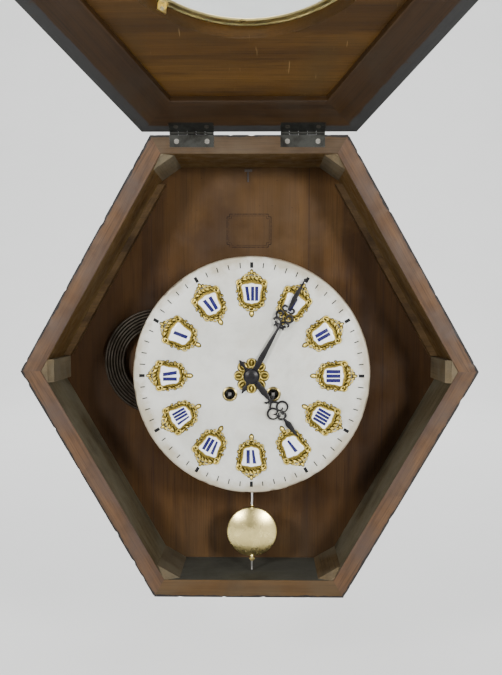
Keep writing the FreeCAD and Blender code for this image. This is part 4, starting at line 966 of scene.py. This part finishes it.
def dial_furniture():
    shield, mount = shield_mesh(), cartouche_mesh()
    shields, mounts, figures = Build(), Build(), Build()
    edge = polar_curve(SHIELD)
    for hour in range(1, 13):
        a = radians(30 * hour)

        def turn(p):
            x, y, z = p
            z += NUMERAL_R
            return (x * cos(a) + z * sin(a), y, z * cos(a) - x * sin(a))

        shields.add([turn(v) for v in shield.verts], shield.faces)
        mounts.add([turn(v) for v in mount.verts], mount.faces)
        for points, pick in numeral(NUMERALS[hour]):
            steps = 5
            lift = 0.12 if pick else 0.18
            (x0, z0), (x1, z1), (x2, z2), (x3, z3) = points
            rows = []
            for j in range(steps + 1):
                f = j / steps
                pa = (x0 + (x3 - x0) * f, z0 + (z3 - z0) * f)
                pb = (x1 + (x2 - x1) * f, z1 + (z2 - z1) * f)
                rows.append([turn((x, -plaque_height(x, z, edge) - lift, z - 0.2)) for x, z in (pa, pb)])
            figures.grid(rows, pick=pick)
    at = place(MX, DIAL_FRONT, MZ)
    shields.make("enamel_plaques", ["enamel"], "case", "enamel", replaces=("numeral_plaques",), at=at, smooth=45)
    mounts.make("gilt_mounts", ["gilt"], "case", "gilt", replaces=("numeral_cartouches",), at=at, smooth=50)
    figures.make("numerals", ["blue", "faint_blue"], "case", "enamel", at=at)


def rosette():
    """Eight looped leaves round a beaded ring, cast in low relief."""
    b = Build()
    around, across = 256, 26
    rows = []
    for j in range(across + 1):
        s = j / across
        row = []
        for a in turns(around):
            local = (a + pi / 8) % (pi / 4) - pi / 8
            edge = 14.4 + 4.0 * abs(cos(a * 4)) ** 0.55
            r = 3.7 + (edge - 3.7) * s
            u, v = r * sin(local), r * cos(local)
            loop = abs(hypot(u / 3.7, (v - 13.3) / 4.4) - 1.0) * 4.0
            leaf = exp(-(u / 0.8) ** 2 - ((v - 13.4) / 2.4) ** 2)
            ring = exp(-((r - 8.6) / 0.8) ** 2) * (0.8 + 0.2 * cos(a * 40))
            height = 0.3 + 1.1 * max(exp(-(loop / 0.85) ** 2), 0.75 * leaf, 0.8 * ring)
            height += 0.08 * sin(a * 60 + r * 1.4)
            row.append((r * sin(a), 0.0 if j == across else -min(height, 1.4), r * cos(a)))
        rows.append(row)
    b.grid(rows, close_across=True)
    b.make("rosette", ["gilt_low"], "case", "gilt", replaces=("centre_rosette",), at=place(MX, DIAL_FRONT, MZ),
           smooth=50)


# ------------------------------------------------------------------ hands
def sleek(points, steps=6):
    """Smooth (width, z) profile through the given points."""
    out = []
    for (w0, z0), (w1, z1) in zip(points, points[1:]):
        for k in range(steps):
            f = k / steps
            g = f * f * (3 - 2 * f)
            out.append((w0 + (w1 - w0) * g, z0 + (z1 - z0) * f))
    return out + [points[-1]]


def hand(body, ahead, degrees, ridges, paths):
    """A pierced hand: flat pointed parts with a raised spine, and scrolls of one thickness on both sides."""
    b = Build()
    for height, outline in ridges:
        b.ridge(sleek(outline), height)
    for path, fat in paths:
        for side in (1, -1):
            b.tube([(side * x, -0.5, z) for x, _, z in path],
                   lambda t: 1.25 * fat * (0.72 + 0.55 * sin(pi * t) ** 2), 0.55 / fat)
    b.make(body + "_steel", ["hand"], body, "black_steel", replaces=(body,),
           at=place(MX, ahead, MZ) @ clockwise(degrees), smooth=40)


def hands():
    hand("minute_hand", -15.4, 28.9, [
        (0.5, [(0.1, -21.0), (1.0, -19.0), (2.3, -15.4), (1.0, -11.0), (2.6, -7.0)]),
        (0.55, [(2.6, 5.0), (3.0, 20.0), (2.2, 36.0), (1.35, 54.0), (1.5, 60.0), (1.1, 63.5)]),
        (0.55, [(0.2, 76.0), (1.0, 78.0), (1.9, 84.0), (2.6, 90.0), (2.1, 97.0), (0.9, 108.0), (0.7, 111.0),
                (1.4, 112.4), (0.1, 114.4)]),
    ], [
        ([(0.6, 0, 57.0), (2.8, 0, 58.2), (5.0, 0, 60.6), (6.6, 0, 61.2)], 0.9),
        ([(0.6, 0, 60.6), (2.6, 0, 60.2), (4.6, 0, 58.0), (5.4, 0, 56.4)], 0.7),
        (spiral(4.6, 70.0, 4.3, 4.3, -150, -10, steps=14) + spiral(4.6, 70.0, 4.3, 1.2, -10, 250, steps=20),
         0.85),
        ([(0.8, 0, 63.0), (2.6, 0, 64.4), (4.6, 0, 65.6), (7.4, 0, 64.6), (8.4, 0, 62.8), (7.2, 0, 61.6)], 0.9),
        (spiral(3.6, 78.4, 3.3, 1.3, -110, 160, steps=20), 0.8),
        ([(0.4, 0, 74.8), (1.6, 0, 76.0), (2.6, 0, 75.4)], 0.8),
    ])
    hand("hour_hand", -12.6, 142.6, [
        (0.5, [(0.1, -21.0), (1.2, -19.0), (2.4, -15.6), (1.2, -11.0), (3.0, -7.0)]),
        (0.55, [(2.2, 5.0), (2.6, 12.0), (3.3, 20.0), (2.2, 27.0), (1.2, 31.5), (0.7, 35.5)]),
        (0.55, [(0.6, 55.0), (1.6, 58.0), (3.1, 63.0), (2.6, 68.0), (1.0, 76.0), (0.2, 78.6)]),
    ], [
        ([(0.6, 0, 31.0), (2.6, 0, 32.2), (5.0, 0, 31.4), (6.0, 0, 29.6)], 0.85),
        ([(0.6, 0, 33.0), (2.0, 0, 35.4), (4.6, 0, 37.6), (5.2, 0, 40.0)], 0.75),
        (spiral(5.9, 44.6, 5.6, 5.6, 150, -170, steps=30) + spiral(4.6, 44.2, 4.1, 1.3, -176, -320, steps=10),
         0.75),
        (spiral(0.0, 50.6, 4.6, 4.6, 10, 88, steps=12), 0.8),
        (spiral(2.2, 49.6, 2.0, 0.8, -60, 200, steps=14), 0.65),
    ])


# ------------------------------------------------------------------ pendulum


def bob():
    b = Build()
    dome = 5.5
    curve_r = (BOB_R ** 2 + dome ** 2) / (2 * dome)
    radii = [(BOB_R - 0.25) * k / 24 for k in range(25)]
    face = [(r, -(sqrt(curve_r ** 2 - r * r) - curve_r + 6.5) + 0.15) for r in radii]
    rim = [(BOB_R - 0.05, -0.7), (BOB_R - 0.05, 0.7)]
    b.grid([[(max(r, 0.01) * cos(a), y, max(r, 0.01) * sin(a)) for a in turns(160)]
            for r, y in face + rim + [(r, -y) for r, y in reversed(face)]], close_across=True)
    b.lathe([(0.0, 29.9), (1.9, 29.9), (2.0, 29.4), (1.5, 28.8), (2.4, 27.6), (2.4, 26.2), (1.8, 24.5)])
    b.lathe([(1.8, -26.0), (2.3, -27.2), (2.3, -28.3), (1.4, -28.6), (0.0, -28.6)])
    b.make("bob_brass", ["brass"], "bob", "polished_brass", replaces=("pendulum_bob",),
           at=place(MX, PEND_Y, BOB_Z), smooth=30)

    n = Build()
    knurl = [(a, 3.22 + 0.08 * (1 if k % 4 < 2 else -1.4)) for k, a in enumerate(turns(96))]
    n.grid([[(r * share * cos(a), r * share * sin(a), z) for a, r in knurl]
            for share, z in ((0.66, 0.0), (0.68, -0.5), (0.95, -0.6), (1.0, -0.8), (1.0, -1.4), (0.95, -1.6),
                             (0.68, -1.7), (0.62, -3.5), (0.4, -3.6))], close_across=True)
    n.make("rating_nut_brass", ["brass"], "rating_nut", "polished_brass", replaces=("rating_nut",),
           at=place(MX, PEND_Y, BOB_Z - BOB_R - 1.5), smooth=25)

    r = Build()
    r.lathe([(0.0, 19.4), (1.38, 19.4), (1.38, -159.5), (1.15, -159.6)], 32)
    thread = []
    z = -159.6
    while z > -221.8:
        thread += [(1.15, z), (0.98, z - 0.3)]
        z -= 0.6
    r.lathe([p for p in thread if p[1] > -221.9] + [(0.0, -221.9)], 20)
    r.make("pendulum_rod_steel", ["rod"], "pendulum", "steel", replaces=("pendulum_rod",),
           at=place(MX, PEND_Y, 0), smooth=30)


def stamp():
    """An empty double border with notched corners, printed on the back panel."""
    b = Build()
    x0, x1, z0, z1 = -26.3, 23.3, 134.8, 171.6
    y = 90.0 - 0.02
    for grow, wide in ((0.0, 0.9), (-2.0, 0.5)):
        ax, bx, az, bz = x0 - grow, x1 + grow, z0 - grow, z1 + grow
        n = 3.0
        loop = [(ax + n, az), (bx - n, az), (bx - n, az + n), (bx, az + n), (bx, bz - n), (bx - n, bz - n),
                (bx - n, bz), (ax + n, bz), (ax + n, bz - n), (ax, bz - n), (ax, az + n), (ax + n, az + n)]
        for (px, pz), (qx, qz) in zip(loop, loop[1:] + loop[:1]):
            length = hypot(qx - px, qz - pz)
            ux, uz = (qx - px) / length, (qz - pz) / length
            nx, nz = -uz * wide / 2, ux * wide / 2
            b.add([(px + nx, y, pz + nz), (px - nx, y, pz - nz), (qx - nx, y, qz - nz), (qx + nx, y, qz + nz)],
                  [(0, 1, 2, 3)])
    b.make("panel_stamp_border", ["stamp"], "case", "inner_wood", at=place(0, 0, 0))


# ------------------------------------------------------------------ finishes for CAD pieces
def dress():
    looks = {
        "panel": "back_panel",
        "block": "corner_blocks",
        "batten": "back_battens",
        "worn_screw": "hanging_plate hinge_case_screws",
        "iron": "hanging_staple gong_block",
        "steel":
            "case_screws clip_screws movement_standoffs movement_screws cannon_pinion anchor_and_crutch "
            "suspension_spring",
        "hinge": "hinge_case_leaves hinge_cover_leaves hinge_pins",
        "dark_screw": "hinge_cover_screws",
        "cover_panel": "cover_panel",
        "black_cover": "cover_moulding",
        "bezel": "bezel",
        "glass": "glass",
        "brass": "bezel_clips",
        "dial": "dial_plate",
        "grommet": "winding_grommets",
        "hand": "hand_boss",
        "old_brass":
            "movement_front_plate movement_back_plate plate_pillars_and_dial_feet going_barrel "
            "strike_barrel going_second_wheel strike_second_wheel centre_wheel third_wheel escape_wheel "
            "strike_pin_wheel strike_fly minute_wheel hour_wheel back_cock hammer",
        "square": "going_winding_arbor strike_winding_arbor",
        "gong": "gong_coil",
    }
    finish = {name: look for look, names in looks.items() for name in names.split()}
    bevels = {"corner_blocks": 0.5, "hinge_case_leaves": 0.15, "hinge_cover_leaves": 0.15, "back_battens": 0.5,
              "gong_block": 0.8}
    for name, o in frame["nodes"].items():
        soften(o.data, 28)
        if name in finish:
            o.data.materials.clear()
            o.data.materials.append(M[finish[name]])
        if name in bevels:
            m = o.modifiers.new("arris", "BEVEL")
            m.width = bevels[name] / 1000
            m.segments, m.limit_method, m.angle_limit, m.harden_normals = 2, "ANGLE", radians(35), False


# ------------------------------------------------------------------ stage
def stage():
    """A pale floor whose far edge sweeps up into a round backdrop, the lamps and the camera."""
    b = Build()
    profile = [(0.01, 0), (800, 0), (2500, 0), (4000, 0)]
    profile += [(4000 + 3000 * sin(radians(a)), 3000 - 3000 * cos(radians(a))) for a in range(6, 91, 6)]
    profile += [(7000, 5000)]
    b.grid([[(r * cos(a), r * sin(a), z) for a in turns(96)] for r, z in profile], close_across=True)
    mesh = b.mesh("floor")
    mesh.shade_smooth()
    s = Shader("floor_paint")
    tone = s.blend(s.spots(3, 4), (0.66, 0.665, 0.66), (0.7, 0.705, 0.7))
    mesh.materials.append(s.finish(Base_Color=tone, Roughness=0.85,
                                   Normal=s.bump(s.spots(120, 3), 0.05, 0.001)))
    floor = in_scene("floor", mesh)
    floor.location = (0, 0, -0.62)

    sky = bpy.data.worlds.new("studio")
    bpy.context.scene.world = sky
    sky.use_nodes = True
    sky.node_tree.nodes["Background"].inputs["Color"].default_value = (0.72, 0.74, 0.76, 1)
    sky.node_tree.nodes["Background"].inputs["Strength"].default_value = 0.16

    def lamp(name, at, aim, size, power, colour=(1, 1, 1)):
        data = bpy.data.lights.new(name, "AREA")
        data.shape = "RECTANGLE"
        data.size, data.size_y = size
        data.energy = power
        data.color = colour
        o = in_scene(name, data)
        o.location = world(*at)
        o.rotation_euler = (world(*aim) - o.location).to_track_quat("-Z", "Y").to_euler()

    lamp("key_right", (700, -1380, 300), (0, 0, 0), (0.26, 0.26), 27, (1, 0.98, 0.95))
    lamp("key_left", (-760, -1380, 400), (0, 0, 0), (0.26, 0.26), 25, (1, 0.98, 0.96))
    lamp("backdrop_wash", (0, 2600, 4400), (0, 4600, -600), (4.0, 3.0), 560)
    lamp("top_soft", (0, -900, 1900), (0, -100, 200), (0.8, 0.6), 16, (0.97, 0.99, 1))

    data = bpy.data.cameras.new("camera")
    data.sensor_fit = "AUTO"
    data.sensor_width = 36.0
    data.lens = 48.0
    data.shift_y = 0.085
    data.clip_start, data.clip_end = 0.02, 80
    camera = in_scene("camera", data)
    right, up = Vector((0.99989, 0.01504, 0.00133)), Vector((-0.00273, 0.09364, 0.9956))
    ahead = Vector((-0.01485, 0.99549, -0.09367))
    spin = Matrix((right, up, -ahead)).transposed().to_4x4()
    camera.matrix_world = Matrix.Translation(world(16.3, -937.63, 63.92)) @ spin
    bpy.context.scene.camera = camera


dress()
case_boards()
cover_boards()
dial_disc()
minute_track()
dial_furniture()
rosette()
hands()
bob()
stamp()
stage()

bpy.context.view_layer.update()
